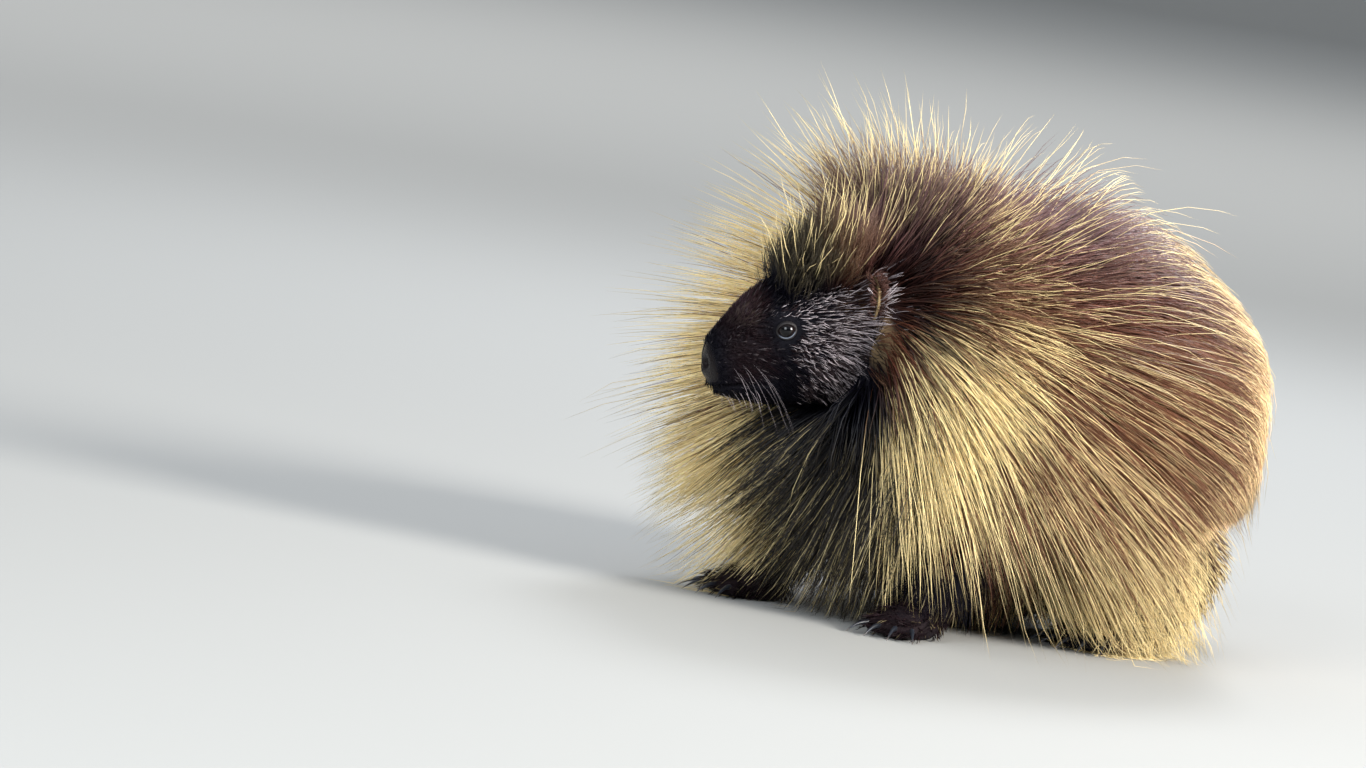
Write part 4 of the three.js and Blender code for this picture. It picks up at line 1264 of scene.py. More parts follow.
def strands(name, paths, radius, places, shades, slot="coat", taper=0.74):
    """Joins tapering three-sided hairs in one mesh. Each keeps a small patch at its root's place on
    the unwrapped skin, and shades gives values for each hair, or for each hair at each stop."""
    count, stops, _ = paths.shape
    rings = stops - 1
    s = np.array(STOPS[rings])
    ahead = unit(np.gradient(paths, axis=1))
    side = unit(np.cross(ahead, unit(paths[:, -1] - paths[:, 0] + 1e-5)[:, None] + (0.31, 0.23, 0.92)))
    top = np.cross(ahead, side)
    radius = np.broadcast_to(radius, count)[:, None, None]
    thick = radius * (np.where(s[:-1] == 0, 0.8, 1) * (1 - taper * s[:-1] ** 2))[None, :, None]
    angles = 2 * math.pi * np.arange(3) / 3
    ways = (math.cos(a) * side[:, :-1] + math.sin(a) * top[:, :-1] for a in angles)
    shell = np.stack([paths[:, :-1] + thick * way for way in ways], 2).reshape(count, rings * 3, 3)
    co = np.concatenate([shell, paths[:, -1:]], 1)
    co[..., 2] = np.maximum(co[..., 2], FLOOR_CLEAR / 2)
    size = rings * 3 + 1

    quads = [(3 * k + j, 3 * k + (j + 1) % 3, 3 * k + 3 + (j + 1) % 3, 3 * k + 3 + j)
             for k in range(rings - 1) for j in range(3)]
    tips = [(3 * rings - 3 + j, 3 * rings - 3 + (j + 1) % 3, 3 * rings) for j in range(3)]
    faces = [*quads, *tips, (2, 1, 0)]
    loops = np.concatenate([np.array(f) for f in faces])
    starts = np.cumsum([0] + [len(f) for f in faces[:-1]])
    base = np.arange(count)[:, None]
    loops_all = (loops + base * size).ravel()

    mesh = bpy.data.meshes.new(name)
    mesh.vertices.add(count * size)
    mesh.vertices.foreach_set("co", (co + SHIFT).astype(np.float32).ravel())
    mesh.loops.add(len(loops_all))
    mesh.loops.foreach_set("vertex_index", loops_all.astype(np.int32))
    mesh.polygons.add(count * len(faces))
    mesh.polygons.foreach_set("loop_start", (starts + base * len(loops)).ravel().astype(np.int32))
    mesh.update(calc_edges=True)
    mesh.shade_smooth()

    along = np.append(np.repeat(s[:-1], 3), 1.0)
    across = np.append(np.tile((0.0, 0.5, 1.0), rings), 0.5)
    uv = np.stack(np.broadcast_arrays(places[:, :1] + (across - 0.5) * PATCH,
                                      places[:, 1:] + (along - 0.5) * PATCH), 2).reshape(-1, 2)
    mesh.uv_layers.new(name="OFBake").data.foreach_set("uv", uv[loops_all].astype(np.float32).ravel())
    stop_of = np.append(np.repeat(np.arange(rings), 3), rings)
    for key, values in shades.items():
        values = np.asarray(values, float)
        if values.ndim == 2:
            values = values[:, stop_of]
        else:
            values = np.broadcast_to(values[:, None], (count, size))
        give_attribute(mesh, key, values.ravel())
    obj = bpy.data.objects.new(name, mesh)
    bpy.context.scene.collection.objects.link(obj)
    kind = "dark_hair" if slot in ("face", "limb") else "guard_hair"
    finish_piece(obj, hair_material(kind))


def unwrapped(where, names):
    """Root places on an unwrap of the skin: one tile for each part, along and round it."""
    tiles = len(names)
    margin = PATCH * 2
    place = np.zeros((len(where.p), 2))
    for tile, name in enumerate(names):
        t, turn, _ = where.at[name] if name in where.at else nearest_leg(where)
        chosen = where.part == PARTS.index(name)
        share = np.stack([turn / (2 * math.pi) % 1, t], 1)
        share[:, 0] = (tile + margin + share[:, 0] * (1 - 2 * margin)) / tiles
        share[:, 1] = margin + share[:, 1] * (1 - 2 * margin)
        place[chosen] = share[chosen]
    return np.clip(place, PATCH, 1 - PATCH)


def nearest_leg(where):
    """Share along, turn and gap on the leg that is nearest, with the four legs side by side."""
    stacked = np.array([where.at[name] for name in legs])
    which = stacked[:, 2].argmin(0)
    t, turn, gap = stacked[which, :, np.arange(len(which))].T
    return t, (turn % (2 * math.pi) + 2 * math.pi * which) / 4, gap


def sown(skin, name, density):
    """How many hairs a piece has, their roots, ways out of the skin, and its random draws."""
    count, seed = HAIRS[name]
    count = int(count * (pelage().fullness * 1))
    return (count, *skin.sample(count, density, seed))


def varied(rng, count, least, span):
    """A random value for each hair, from least to least and span together."""
    return least + span * rng.random(count)


def pale_from(rings, start, share, soft=0.22):
    """How pale each stop of a hair is: dark to its start, then pale, for hairs whose share is 1."""
    s = np.array(STOPS[rings])[None]
    return smooth(s, start[:, None], start[:, None] + soft) * share[:, None]


def scattered(way, rng, amount):
    return unit(way + rng.normal(size=way.shape) * amount)


class PORCUPINE_OT_underfur(bpy.types.Operator):
    """Grows the dense brown underfur over the trunk and neck, pale low down and on the rump."""

    bl_idname = "porcupine.underfur"
    bl_label = "Underfur"

    def execute(self, context):
        skin = pelt()
        for side, sign in SIDES:
            name = f"underfur_{side}"
            covered = skin.where.on("torso", "neck") & (sign * skin.middle[:, 0] > 0)
            count, roots, out, rng = sown(skin, name, covered)
            where = Where(roots, out)
            way, _, droop, depth, on_neck = body_lie(where)
            out = unit(blend(out, outward(where, "neck"), on_neck[:, None]))
            height = smooth(roots[:, 2], 0.12, 0.2)
            length = blend(0.046, 0.058, height) * varied(rng, count, 0.65, 0.6)
            length = hemmed(roots, way, length, droop)
            paths = paths_of(roots, out, scattered(way, rng, 0.13), length, droop, depth * 0.85, 3)
            paths = settled(clumped(paths, 9, 0.22, rng, 0.003))
            shades = marks(roots, out)
            skirt = 1 - smooth(roots[:, 2] - 0.06 * smooth(roots[:, 1], 0.02, 0.12), 0.06, 0.14)
            skirt = np.maximum(skirt, 0.95 * smooth(roots[:, 1], 0.01, 0.08))
            behind_cheek = 0.55 * on_neck * smooth(turn_from_top(wrap_turn(where.turn["neck"])), 50, 75)
            skirt = np.maximum(skirt, behind_cheek * smooth(roots[:, 1], *NECK_FRONT))
            share = blend(0.04, 0.8, skirt) * rng.random(count)
            shades["pale"] = pale_from(3, blend(0.6, 0.15, skirt), share)
            shades["soot"] = shades["soot"] * blend(1, 0.3, smooth(roots[:, 1], -0.06, 0.0))
            shades["tint"] = rng.random(count)
            strands(name, paths, 0.00055, unwrapped(where, ("torso", "neck")), shades)
        return {"FINISHED"}


class PORCUPINE_OT_guard_hair(bpy.types.Operator):
    """Grows the long straw guard hairs: few over the brown back, many over the flanks and rump."""

    bl_idname = "porcupine.guard_hair"
    bl_label = "Guard hair"

    def execute(self, context):
        skin = pelt()
        turn = wrap_turn(skin.where.turn["torso"])
        trunk = skin.where.on("torso") & (turn_from_top(turn) < 135) & (skin.middle[:, 1] > CHEST_FRONT)
        high = turn_from_top(turn) < 55
        for area, (side, sign) in itertools.product(("back", "flank"), SIDES):
            name = f"{area}_{side}"
            covered = trunk & (sign * skin.middle[:, 0] > 0) & (high if area == "back" else ~high)
            rear = smooth(skin.middle[:, 1], -0.05, 0.09)
            density = covered * (blend(0.5, 1.5, rear) if area == "back" else 1.0)
            count, roots, out, rng = sown(skin, name, density)
            where = Where(roots, out)
            way, length, droop, depth, _ = body_lie(where)
            height = smooth(roots[:, 2] - 0.1 * smooth(roots[:, 1], 0.0, 0.11), 0.06, 0.17)
            shoulder = (1 - smooth(roots[:, 1], -0.075, -0.02)) * (1 - smooth(out[:, 2], 0.5, 0.85))
            rump = smooth(roots[:, 1], 0.0, 0.07)
            blond = rng.random(count) < blend(0.9, 0.08 + 0.2 * shoulder + 0.74 * rump, height)
            long = 0.65 + 0.65 * rng.random(count) ** 1.6
            length = length * long * np.where(blond, blend(1, 1.28, height), 0.9)
            length = hemmed(roots, way, length, droop)
            way = scattered(way, rng, np.where(blond, blend(0.085, 0.13, height), 0.07)[:, None])
            paths = paths_of(roots, out, way, length, droop, depth * varied(rng, count, 0.8, 0.5), 4)
            pull = pelage().clump * (0.35 if area == "back" else 0.5)
            paths = settled(clumped(paths, 6, pull, rng, 0.002))
            shades = marks(roots, out)
            on_rump = 0.12 if area == "back" else -0.17
            start = blend(0.02, 0.25 + on_rump * rump, height) + 0.2 * rng.random(count)
            share = np.where(blond, blend(1.0, 0.6 + 0.4 * rump, height), 0.04)
            shades["pale"] = pale_from(4, start, share)
            # Painted sunlight: hairs of the rear flank and rump take peach as a warm highlight
            painted_sunlight = smooth(roots[:, 1], -0.02, 0.09) * smooth(roots[:, 2], 0.06, 0.12)
            shades["painted_sunlight"] = painted_sunlight * varied(rng, count, 0.3, 0.7)
            shades["tint"] = rng.random(count)
            shades["soot"] = shades["soot"] * 0.3
            radius = pelage().hair_radius * varied(rng, count, 0.8, 0.4) * np.where(blond, 1, 1.15)
            strands(name, paths, radius, unwrapped(where, ("torso",)), shades)
        return {"FINISHED"}


class PORCUPINE_OT_ruff(bpy.types.Operator):
    """Grows the pale ruff and nape that open round the head."""

    bl_idname = "porcupine.ruff"
    bl_label = "Ruff"

    def execute(self, context):
        skin = pelt()
        turn = wrap_turn(skin.where.turn["neck"])
        y = skin.middle[:, 1]
        throat = (turn < -5) & (skin.middle[:, 0] < THROAT["side"])
        on_neck = skin.where.on("neck") & (turn > -42) & (turn < 225)
        on_neck = on_neck & ~near_ear(skin.middle, 0.027) & ~throat
        behind = smooth(y, *NECK_FRONT)
        left = on_neck * blend(behind, 1, smooth(turn, 60, 85)) * (turn < 95)
        shoulder = skin.where.on("torso") & (turn > 150) & (y < -0.06) & (skin.middle[:, 2] > 0.09)
        right = (on_neck | shoulder) * blend(0.6, 1.0, smooth(turn, 110, 140))
        right = right * ((turn >= 95) | shoulder)
        for name, density in (("ruff_left", left), ("ruff_right", right)):
            count, roots, out, rng = sown(skin, name, density)
            where = Where(roots, out)
            degrees = wrap_turn(where.turn["neck"])
            way, length = ruff_at(degrees)
            out = outward(where, "neck")
            depth = coat_depth(where.turn["neck"], "neck")
            on_left = degrees < 90
            nape = smooth(turn_from_top(degrees), np.where(on_left, 78, 62), np.where(on_left, 52, 38))
            pale = rng.random(count) < blend(0.92, np.where(on_left, 0.14, 0.2), nape)
            long = 0.45 + 0.8 * rng.random(count) ** 1.6
            long = long * np.where(pale, 1.06, blend(1, 0.72, nape))
            way = scattered(way, rng, blend(0.11, 0.2, nape)[:, None])
            paths = paths_of(roots, out, way, length * long, 0.08, depth, 4)
            paths = settled(clumped(paths, 6, pelage().clump * 0.45, rng, 0.003))
            shades = marks(roots, out)
            start = blend(0.0, 0.35, nape) + 0.2 * rng.random(count)
            shades["pale"] = pale_from(4, start, np.where(pale, 1.0, 0.12))
            shades["soot"] = shades["soot"] * 0.25
            shades["tint"] = varied(rng, count, 0.2, 0.8)
            radius = pelage().hair_radius * varied(rng, count, 0.8, 0.4)
            strands(name, paths, radius, unwrapped(where, ("neck", "torso")), shades, "mane")
        return {"FINISHED"}


class PORCUPINE_OT_crown(bpy.types.Operator):
    """Grows the erect crest over the head: dark, with a few long pale hairs standing out of it."""

    bl_idname = "porcupine.crown"
    bl_label = "Crown"

    def execute(self, context):
        skin = pelt()
        where = skin.where
        top = skin.out @ head_up
        density = where.on("head") * smooth(where.back, 0.050, 0.078) * smooth(top, 0.45, 0.75)
        density = density * ~near_ear(skin.middle, 0.018)
        count, roots, out, rng = sown(skin, "crown", density)
        where = Where(roots, out)
        back = smooth(where.back, 0.052, 0.1)
        pale = rng.random(count) < 0.05
        way = lifted(-head_forward, outward(where, "head"), LIFT["crown"])
        way = scattered(way, rng, np.where(pale, 0.2, 0.12)[:, None])
        length = np.where(pale, 0.078, 0.048) * blend(0.5, 1.0, back) * varied(rng, count, 0.6, 0.5)
        paths = paths_of(roots, out, way, length, 0, 0.003, 4)
        paths = settled(clumped(paths, 5, 0.2, rng, 0.0035))
        shades = marks(roots, out)
        shades["soot"] = np.clip(shades["soot"], 0, blend(1.0, 0.25, smooth(where.back, 0.075, 0.11)))
        shades["pale"] = pale_from(4, varied(rng, count, 0.25, 0.25), np.where(pale, 1.0, 0.06))
        shades["tint"] = varied(rng, count, 0.2, 0.8)
        radius = pelage().hair_radius * np.where(pale, 1.0, 0.85)
        strands("crown", paths, radius, unwrapped(where, ("head",)), shades, "mane")
        return {"FINISHED"}


class PORCUPINE_OT_face_fur(bpy.types.Operator):
    """Grows the short black fur of the face and the frosted hairs of the cheeks and ears."""

    bl_idname = "porcupine.face_fur"
    bl_label = "Face fur"

    def execute(self, context):
        skin = pelt()
        where = skin.where
        bare = (where.back < 0.0045) & (where.rise > -0.014) | near_eye(skin.middle, 0.0092)
        line = where.rise - mouth_rise(np.clip(where.back, 0, MOUTH["corner"]))
        shut = (np.abs(line) < 0.0016) & (where.back < 0.037)
        covered = where.on("head") & ~bare & ~shut
        left_neck = where.on("neck") & (skin.middle[:, 1] < NECK_FRONT[0]) & (np.abs(where.side) > 0.01)
        self.short_fur(skin, covered | left_neck)
        self.dashes(skin, covered)
        self.cheeks(skin, covered & (where.back > 0.05) | left_neck)
        for name, sign in SIDES:
            self.ear_fur(Pelt(bpy.data.objects[f"ear_cup_{name}"]), f"ear_fur_{name}", sign)
        return {"FINISHED"}

    def lie(self, where):
        """Back from the nose, down over the cheeks and under the chin."""
        down = smooth(-where.rise, -0.01, 0.03)
        return -head_forward - head_up * (0.15 + 0.6 * down)[:, None]

    def short_fur(self, skin, covered):
        """Close black fur, shortest at the nose and round the eyes."""
        where = skin.where
        density = covered * blend(1.6, 0.5, smooth(where.back, 0.02, 0.1))
        count, roots, out, rng = sown(skin, "face_fur", density)
        where = Where(roots, out)
        way = lifted(scattered(self.lie(where), rng, 0.15), out, varied(rng, count, 0.3, 0.15))
        length = blend(0.0045, 0.016, smooth(where.back, 0.01, 0.1)) * varied(rng, count, 0.7, 0.6)
        eye = np.min([np.linalg.norm(roots - eye_centre(sign), axis=1) for _, sign in SIDES], axis=0)
        length *= np.clip((eye - 0.0072) / 0.012, 0.25, 1)
        paths = clumped(paths_of(roots, out, way, length, 0, 0, 2, 0.0008), 7, 0.35, rng)
        shades = marks(roots, out)
        shades["soot"] = np.clip(shades["soot"] + smooth(where.back, 0.08, 0.1), 0, 1)
        shades["pale"] = np.zeros(count)
        shades["frost"] = (rng.random(count) < 0.04) * 0.15
        shades["tint"] = rng.random(count)
        strands("face_fur", paths, 0.00028, unwrapped(where, ("head", "neck")), shades, "face")

    def dashes(self, skin, covered):
        """Short white-tipped hairs in a band behind and over the eye."""
        where = skin.where
        side = smooth(np.abs(where.side), 0.016, 0.024)
        behind_eye = band(where.back, 0.056, 0.064, 0.09, 0.102)
        behind_eye = behind_eye * band(where.rise, -0.024, -0.01, 0.022, 0.032)
        count, roots, out, rng = sown(skin, "cheek_dashes", covered * side * behind_eye)
        where = Where(roots, out)
        way = lifted(scattered(-head_forward - head_up * 0.12, rng, 0.16), out, 0.3)
        length = 0.0075 * varied(rng, count, 0.6, 0.7)
        length = length * blend(0.7, 1.3, smooth(where.back, 0.06, 0.09))
        paths = paths_of(roots, out, way, length, 0, 0.0016, 3, 0.0004)
        shades = marks(roots, out)
        shades["pale"] = np.zeros(count)
        shades["frost"] = pale_from(3, np.full(count, 0.2), varied(rng, count, 0.65, 0.35))
        shades["tint"] = varied(rng, count, 0.4, 0.6)
        strands("cheek_dashes", paths, 0.0003, unwrapped(where, ("head",)), shades, "face")

    def cheeks(self, skin, covered):
        """Longer frosted hairs low on the cheeks and over the side of the neck."""
        where = skin.where
        side = smooth(np.abs(where.side), 0.012, 0.025)
        low = 1 - smooth(where.rise, -0.004, 0.012)
        density = covered * side * blend(0.25, 1, low) * (1 - smooth(where.rise, 0.02, 0.03))
        count, roots, out, rng = sown(skin, "cheek_fur", density)
        where = Where(roots, out)
        back = smooth(where.back, 0.055, 0.115)
        fall = blend(0.15, 1.1, smooth(-where.rise, -0.005, 0.03))
        way = scattered(-head_forward - head_up * fall[:, None], rng, 0.2)
        out = outward(where, "head")
        way = lifted(way, out, varied(rng, count, 0.3, 0.3))
        length = blend(0.008, 0.038, back) * varied(rng, count, 0.6, 0.7)
        paths = clumped(paths_of(roots, out, way, length, 0.12, 0.001, 4, 0.001), 4, 0.35, rng, 0.002)
        shades = marks(roots, out)
        shades["soot"] = np.full(count, 0.9)
        shades["pale"] = np.zeros(count)
        frosted = rng.random(count) < blend(0.3, 0.75, back)
        start = varied(rng, count, 0.2, 0.3)
        shades["frost"] = pale_from(4, start, np.where(frosted, varied(rng, count, 0.75, 0.25), 0.04))
        shades["tint"] = rng.random(count)
        strands("cheek_fur", paths, 0.00026, unwrapped(where, ("head", "neck")), shades, "face")

    def ear_fur(self, cup, name, sign):
        """Reddish fur over the back of the ear, with longer white hairs along its rear edge."""
        count, roots, out, rng = sown(cup, name, np.ones(len(cup.area)))
        where = Where(roots, out)
        off = roots - ear_centre(sign)
        behind, below = -(off @ head_forward), -(off @ head_up)
        white = (behind > 0.002) & (below > -0.002) & (rng.random(count) < 0.5)
        way = -head_forward * 0.8 + head_up * 0.25 + head_left * sign * 0.5
        way = lifted(scattered(np.tile(way, (count, 1)), rng, 0.3), out, 0.5)
        length = np.where(white, 0.017, 0.009) * varied(rng, count, 0.6, 0.6)
        paths = paths_of(roots, out, way, length, 0.1, 0.001, 3, 0.0006)
        shades = marks(roots, out)
        shades["soot"] = np.full(count, 0.25)
        shades["rust"] = varied(rng, count, 0.6, 0.4)
        shades["pale"] = np.zeros(count)
        shades["frost"] = pale_from(3, np.full(count, 0.1), np.where(white, 1.0, 0.05))
        shades["tint"] = rng.random(count)
        where.part[:] = PARTS.index("head")
        strands(name, paths, 0.00032, unwrapped(where, ("head",)), shades, "face")


class PORCUPINE_OT_chest_fur(bpy.types.Operator):
    """Grows the dark hanging hair of the throat and chest and the pale hair of the belly."""

    bl_idname = "porcupine.chest_fur"
    bl_label = "Chest fur"

    def execute(self, context):
        skin = pelt()
        where = skin.where
        turn = wrap_turn(where.turn["torso"])
        neck_turn = wrap_turn(where.turn["neck"])
        under = where.on("torso") & ((turn <= -45) | (turn >= 225))
        front = where.on("torso") & (skin.middle[:, 1] < CHEST_FRONT)
        throat = where.on("neck") & ((neck_turn < -55) | (neck_turn > 215))
        density = under * 0.7 + (front | throat) * 1.6
        count, roots, out, rng = sown(skin, "chest_fur", density)
        where = Where(roots, out)
        belly = smooth(roots[:, 1], -0.06, 0.0)
        ahead = 1 - smooth(roots[:, 1], -0.115, -0.08)
        left = smooth(roots[:, 0], -0.04, 0.03)[:, None]
        fanned = blend(np.array(THROAT["right"]), np.array(THROAT["left"]), left)
        way = lifted(np.tile((0.0, 0.1, -1.0), (count, 1)), out, 0.3)
        way = scattered(blend(way, fanned, ahead[:, None]), rng, 0.16)
        length = blend(0.095, 0.06, belly) * varied(rng, count, 0.5, 0.6)
        paths = paths_of(roots, out, way, length, 0.2, 0.006, 4)
        paths = settled(clumped(paths, 7, 0.45, rng, 0.004))
        shades = marks(roots, out)
        pale = rng.random(count) < blend(0.12, 0.35, belly)
        share = np.where(pale, blend(0.7, 1.0, belly), 0.03)
        shades["pale"] = pale_from(4, varied(rng, count, 0.25, 0.3), share)
        shades["tint"] = rng.random(count)
        strands("chest_fur", paths, pelage().hair_radius, unwrapped(where, ("torso", "neck")), shades)
        return {"FINISHED"}


class PORCUPINE_OT_limb_fur(bpy.types.Operator):
    """Grows the dark fur of the legs and the short fur of the feet."""

    bl_idname = "porcupine.limb_fur"
    bl_label = "Limb fur"

    def execute(self, context):
        skin = pelt()
        where = skin.where
        covered = where.on("legs") & (skin.middle[:, 2] > 0.004)
        feet = 1 - smooth(skin.middle[:, 2], 0.02, 0.035)
        count, roots, out, rng = sown(skin, "limb_fur", covered * blend(1, 2.2, feet))
        where = Where(roots, out)
        on_foot = 1 - smooth(roots[:, 2], 0.018, 0.05)
        down = np.stack([0 * on_foot, blend(0.3, -0.7, on_foot), blend(-1.0, -0.35, on_foot)], 1)
        way = lifted(scattered(down, rng, 0.15), out, varied(rng, count, 0.3, 0.2))
        length = blend(0.034, 0.010, on_foot) * varied(rng, count, 0.65, 0.6)
        paths = clumped(paths_of(roots, out, way, length, 0.1, 0.001, 3, 0.001), 8, 0.45, rng, 0.001)
        shades = marks(roots, out)
        shades["pale"] = pale_from(3, varied(rng, count, 0.4, 0.4), 0.25 * (rng.random(count) < 0.2))
        shades["tint"] = rng.random(count)
        strands("limb_fur", settled(paths), 0.00036, unwrapped(where, ("legs",)), shades, "limb")
        return {"FINISHED"}


class PORCUPINE_OT_tail_bristles(bpy.types.Operator):
    """Grows the stiff bristles of the tail."""

    bl_idname = "porcupine.tail_bristles"
    bl_label = "Tail bristles"

    def execute(self, context):
        skin = pelt()
        covered = skin.where.on("tail") & (skin.middle[:, 2] > 0.003)
        count, roots, out, rng = sown(skin, "tail_bristles", covered)
        where = Where(roots, out)
        t = where.at["tail"][0]
        ahead = tail.frame(t)[1]
        way = scattered(lifted(ahead, out, LIFT["tail"]), rng, 0.12)
        length = blend(0.022, 0.046, smooth(t, 0.25, 0.6)) * varied(rng, count, 0.6, 0.5)
        paths = paths_of(roots, out, way, length, 0.05, 0.003, 3)
        paths = settled(clumped(paths, 7, 0.4, rng, 0.001), ())
        shades = marks(roots, out)
        shades["soot"] = np.full(count, 0.4)
        pale = rng.random(count) < 0.6
        shades["pale"] = pale_from(3, varied(rng, count, 0.2, 0.3), np.where(pale, 0.95, 0.1))
        shades["tint"] = rng.random(count)
        strands("tail_bristles", paths, pelage().hair_radius * 1.2, unwrapped(where, ("tail",)), shades)
        return {"FINISHED"}


class PORCUPINE_OT_stray_hair(bpy.types.Operator):
    """Scatters long loose hairs that curve out of the coat, and the pale wool behind the hind foot."""

    bl_idname = "porcupine.stray_hair"
    bl_label = "Stray hair"

    def execute(self, context):
        self.strays()
        self.wool()
        return {"FINISHED"}

    def strays(self):
        """Long pale hairs over the top and the rump."""
        skin = pelt()
        where = skin.where
        high = smooth(skin.middle[:, 2], 0.13, 0.2)
        rear = smooth(skin.middle[:, 1], 0.05, 0.12) * smooth(skin.middle[:, 2], 0.08, 0.12)
        density = where.on("torso", "neck") * np.clip(high + rear, 0, 1) * ~near_ear(skin.middle, 0.03)
        density = density * (np.abs(skin.middle[:, 0]) < 0.09)
        count, roots, out, rng = sown(skin, "stray_hair", density)
        where = Where(roots, out)
        way, length, droop, depth, _ = body_lie(where)
        way = scattered(way + 0.25 * out, rng, 0.2)
        length = hemmed(roots, way, length * varied(rng, count, 1.0, 0.25), droop)
        paths = paths_of(roots, out, way, length, droop * 1.3, depth, 5)
        s = np.array(STOPS[5])[None, :, None]
        bend = unit(rng.normal(size=(count, 3)))[:, None] * (0.004 + 0.012 * rng.random((count, 1, 1)))
        paths = settled(paths + bend * np.sin(2.6 * s) * s)
        shades = marks(roots, out)
        shades["soot"] = np.zeros(count)
        shades["pale"] = pale_from(5, np.full(count, 0.15), np.ones(count))
        shades["tint"] = varied(rng, count, 0.5, 0.5)
        radius = pelage().hair_radius * 0.85
        strands("stray_hair", paths, radius, unwrapped(where, ("torso", "neck")), shades)

    def wool(self):
        """Fuzzy pale hair that reaches the floor behind the near hind foot."""
        skin = pelt()
        where = skin.where
        low = 1 - smooth(skin.middle[:, 2], 0.075, 0.105)
        rear = smooth(skin.middle[:, 1], 0.0, 0.04)
        left = smooth(skin.middle[:, 0], 0.0, 0.03)
        density = where.on("torso", "legs") * low * rear * left
        count, roots, out, rng = sown(skin, "hind_wool", density)
        where = Where(roots, out)
        way = lifted(np.tile((0.1, 0.35, -1.0), (count, 1)), out, 0.35)
        way = scattered(way, rng, 0.22)
        length = np.minimum(0.044, roots[:, 2] * 0.95) * varied(rng, count, 0.8, 0.6)
        paths = clumped(paths_of(roots, out, way, length, 0.15, 0.012, 4), 6, 0.3, rng, 0.008)
        shades = marks(roots, out)
        shades["soot"] = shades["soot"] * 0.2
        shades["pale"] = pale_from(4, varied(rng, count, 0.05, 0.3), varied(rng, count, 0.75, 0.25))
        shades["tint"] = rng.random(count)
        strands("hind_wool", settled(paths), 0.0003, unwrapped(where, ("torso", "legs")), shades)


# Whiskers

WHISKER_ROWS = 3
CHIN_BRISTLES = 7


class PORCUPINE_OT_whiskers(bpy.types.Operator):
    """Sets the long curved whiskers and the white bristles of lips and chin."""

    bl_idname = "porcupine.whiskers"
    bl_label = "Whiskers"

    def execute(self, context):
        rng = np.random.default_rng(59)
        rows = []
        for _, sign in SIDES:
            for k in range(WHISKER_ROWS ** 2):
                row, column = divmod(k, WHISKER_ROWS)
                rows.append((sign, 0.014 + 0.006 * column + 0.002 * row, -0.006 - 0.004 * row,
                             0.022 + 0.010 * column, 0.6, 0.35))
            for k in range(CHIN_BRISTLES):
                rows.append((sign, 0.006 + 0.0035 * k, -0.024 - 0.0004 * k, 0.009, 1.2, 0.9))
        sides, backs, rises, lengths, falls, whites = (np.array(x) for x in zip(*rows))
        stations = [h[0] for h in HEAD][::-1]
        half = smooth_curve(head.sizes, np.interp(backs, stations, np.linspace(1, 0, len(HEAD))))
        middle = np.interp(backs, stations, [h[1] for h in HEAD][::-1])
        share = np.clip(np.abs(rises - middle) / half[:, 2], 0, 0.96)
        roots = head_point(backs, rises, sides * half[:, 0] * np.sqrt(1 - share ** 2))
        out = unit(head_left * sides[:, None] + head_up * -0.2)
        way = unit(out * 0.45 - head_forward * 0.75 - head_up * falls[:, None])
        count = len(roots)
        lengths = lengths * varied(rng, count, 0.8, 0.4)
        paths = paths_of(roots, out, scattered(way, rng, 0.2), lengths, 0.8, 0.004, 5)
        shades = {"pale": np.zeros(count), "frost": whites, "soot": np.ones(count),
                  "tint": 0.4 + 0.6 * rng.random(count)}
        where = Where(roots, out)
        where.part[:] = PARTS.index("head")
        strands("whiskers", paths, 0.0001, unwrapped(where, ("head",)), shades, "face", 0.75)
        return {"FINISHED"}


# Studio

# What the camera looks at, in the body's frame
TARGET = (-0.1385, -0.165, 0.1285)
BOWL = {"radius": 30.0, "curve": 6.0, "height": 14.0, "steps": 12}
# Each light: its name, place, aim, size, power and colour
ANIMAL = (0, 0, 0.15)
LIGHTS = (
    ("key", (2.8, 1.05, 1.4), ANIMAL, 1.3, 220, (1.0, 0.97, 0.92)),
    ("front", (1.3, -2.9, 1.5), ANIMAL, 1.8, 72, (0.9, 0.95, 1.0)),
    ("rim", (-1.8, 2.2, 2.4), ANIMAL, 1.0, 60, (0.9, 0.94, 1.0)),
    ("backdrop", (-7.0, 6.0, 8.0), (-9.0, 7.5, 3.0), 11.0, 800, (1.0, 1.0, 1.0)),
)
SKY = {"colour": (0.86, 0.92, 1.0, 1.0), "strength": 0.55}


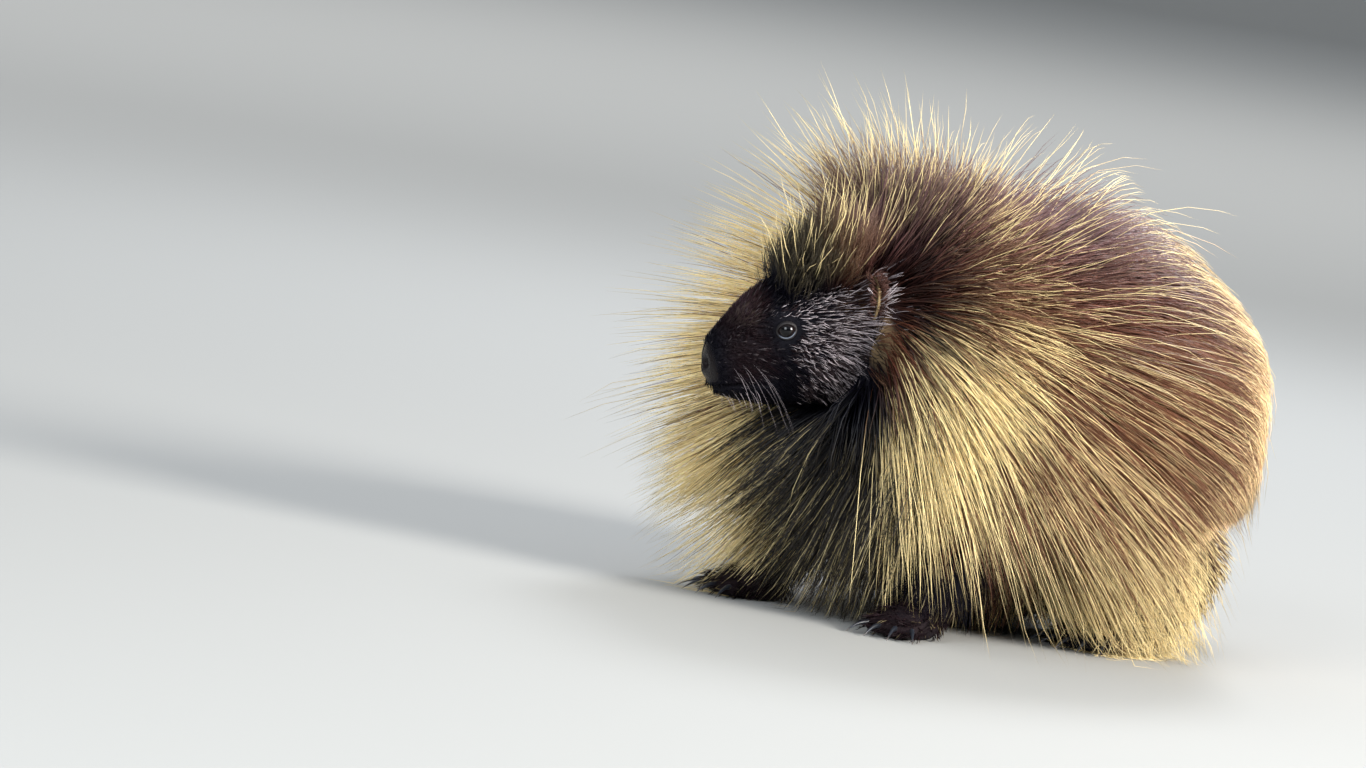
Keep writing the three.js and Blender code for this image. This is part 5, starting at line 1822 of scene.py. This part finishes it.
class PORCUPINE_OT_studio(bpy.types.Operator):
    """Sets the pale floor and backdrop, the soft lights and the camera."""

    bl_idname = "porcupine.studio"
    bl_label = "Studio"

    def execute(self, context):
        settings = context.scene.porcupine_studio
        self.bowl(settings.floor)
        for light in LIGHTS:
            self.softbox(*light)
        self.camera(settings)
        self.air()
        return {"FINISHED"}

    def bowl(self, colour):
        """A round floor that curves up into a wall, past every camera."""
        deselect()
        bpy.ops.mesh.primitive_circle_add(vertices=96, radius=BOWL["radius"], fill_type="TRIFAN")
        floor = bpy.context.object
        floor.name = floor.data.name = "studio_floor"
        profile = [(BOWL["radius"] + BOWL["curve"] * math.sin(a), BOWL["curve"] * (1 - math.cos(a)))
                   for a in np.linspace(0, math.pi / 2, BOWL["steps"] + 1)[1:]]
        profile.append((BOWL["radius"] + BOWL["curve"], BOWL["height"]))
        bpy.ops.object.mode_set(mode="EDIT")
        bpy.ops.mesh.select_all(action="SELECT")
        bpy.ops.mesh.region_to_loop()
        radius, height = BOWL["radius"], 0
        for wide, tall in profile:
            bpy.ops.mesh.extrude_edges_move(TRANSFORM_OT_translate={"value": (0, 0, tall - height)})
            bpy.ops.transform.resize(value=(wide / radius, wide / radius, 1), center_override=(0, 0, tall))
            radius, height = wide, tall
        bpy.ops.mesh.select_all(action="SELECT")
        bpy.ops.mesh.normals_make_consistent(inside=True)
        bpy.ops.object.mode_set(mode="OBJECT")
        floor.data.shade_smooth()
        made, tree, shader = material("pale_floor")
        plug(tree, shader.inputs["Base Color"], tuple(colour))
        shader.inputs["Roughness"].default_value = 0.75
        floor.data.materials.append(made)

    def softbox(self, name, at, aim, size, power, colour):
        deselect()
        bpy.ops.object.light_add(type="AREA", location=at)
        light = bpy.context.object
        light.name = light.data.name = name
        light.data.shape = "DISK"
        light.data.size = size
        light.data.energy = power
        light.data.color = colour
        light.rotation_mode = "QUATERNION"
        light.rotation_quaternion = (Vector(aim) - Vector(at)).to_track_quat("-Z", "Y")

    def camera(self, settings):
        bpy.ops.object.camera_add()
        camera = bpy.context.object
        camera.name = camera.data.name = "photo_view"
        a, e = settings.azimuth, settings.elevation
        away = Vector((math.sin(a) * math.cos(e), -math.cos(a) * math.cos(e), math.sin(e)))
        turn = (-away).to_track_quat("-Z", "Y").to_matrix().to_4x4()
        place = Vector(TARGET) + Vector(SHIFT) + away * settings.distance
        roll = Matrix.Rotation(settings.roll, 4, "Z")
        camera.matrix_world = Matrix.Translation(place) @ turn @ roll
        camera.data.lens = settings.lens
        camera.data.sensor_width = 36
        camera.data.clip_end = 60
        bpy.context.scene.camera = camera

    def air(self):
        """Pale light from all round."""
        world = bpy.context.scene.world or bpy.data.worlds.new("studio_air")
        bpy.context.scene.world = world
        world.use_nodes = True
        sky = world.node_tree.nodes["Background"]
        sky.inputs["Color"].default_value = SKY["colour"]
        sky.inputs["Strength"].default_value = SKY["strength"]
        bpy.context.scene.view_settings.view_transform = "Standard"


class PORCUPINE_PT_panel(bpy.types.Panel):
    """Lists the steps that dress the porcupine."""

    bl_label = "Porcupine"
    bl_idname = "PORCUPINE_PT_panel"
    bl_space_type = "VIEW_3D"
    bl_region_type = "UI"
    bl_category = "Porcupine"

    def draw(self, context):
        for group, _ in SETTINGS:
            box = self.layout.box()
            settings = getattr(context.scene, group)
            for key in settings.__annotations__:
                box.prop(settings, key)
        for step in STEPS:
            self.layout.operator(step.bl_idname)


SETTINGS = (
    ("porcupine_pelage", PelageSettings),
    ("porcupine_skin", SkinSettings),
    ("porcupine_studio", StudioSettings),
)
STEPS = (
    PORCUPINE_OT_studio,
    PORCUPINE_OT_skin,
    PORCUPINE_OT_ears,
    PORCUPINE_OT_eyes,
    PORCUPINE_OT_claws,
    PORCUPINE_OT_underfur,
    PORCUPINE_OT_guard_hair,
    PORCUPINE_OT_ruff,
    PORCUPINE_OT_crown,
    PORCUPINE_OT_face_fur,
    PORCUPINE_OT_chest_fur,
    PORCUPINE_OT_limb_fur,
    PORCUPINE_OT_tail_bristles,
    PORCUPINE_OT_stray_hair,
    PORCUPINE_OT_whiskers,
)


def register():
    for group, settings in SETTINGS:
        bpy.utils.register_class(settings)
        setattr(bpy.types.Scene, group, bpy.props.PointerProperty(type=settings))
    for made in (*STEPS, PORCUPINE_PT_panel):
        bpy.utils.register_class(made)


def unregister():
    for made in (PORCUPINE_PT_panel, *reversed(STEPS)):
        bpy.utils.unregister_class(made)
    for group, settings in reversed(SETTINGS):
        delattr(bpy.types.Scene, group)
        bpy.utils.unregister_class(settings)


def main():
    register()
    for step in STEPS:
        kind, name = step.bl_idname.split(".")
        getattr(getattr(bpy.ops, kind), name)()


if __name__ == "__main__":
    main()
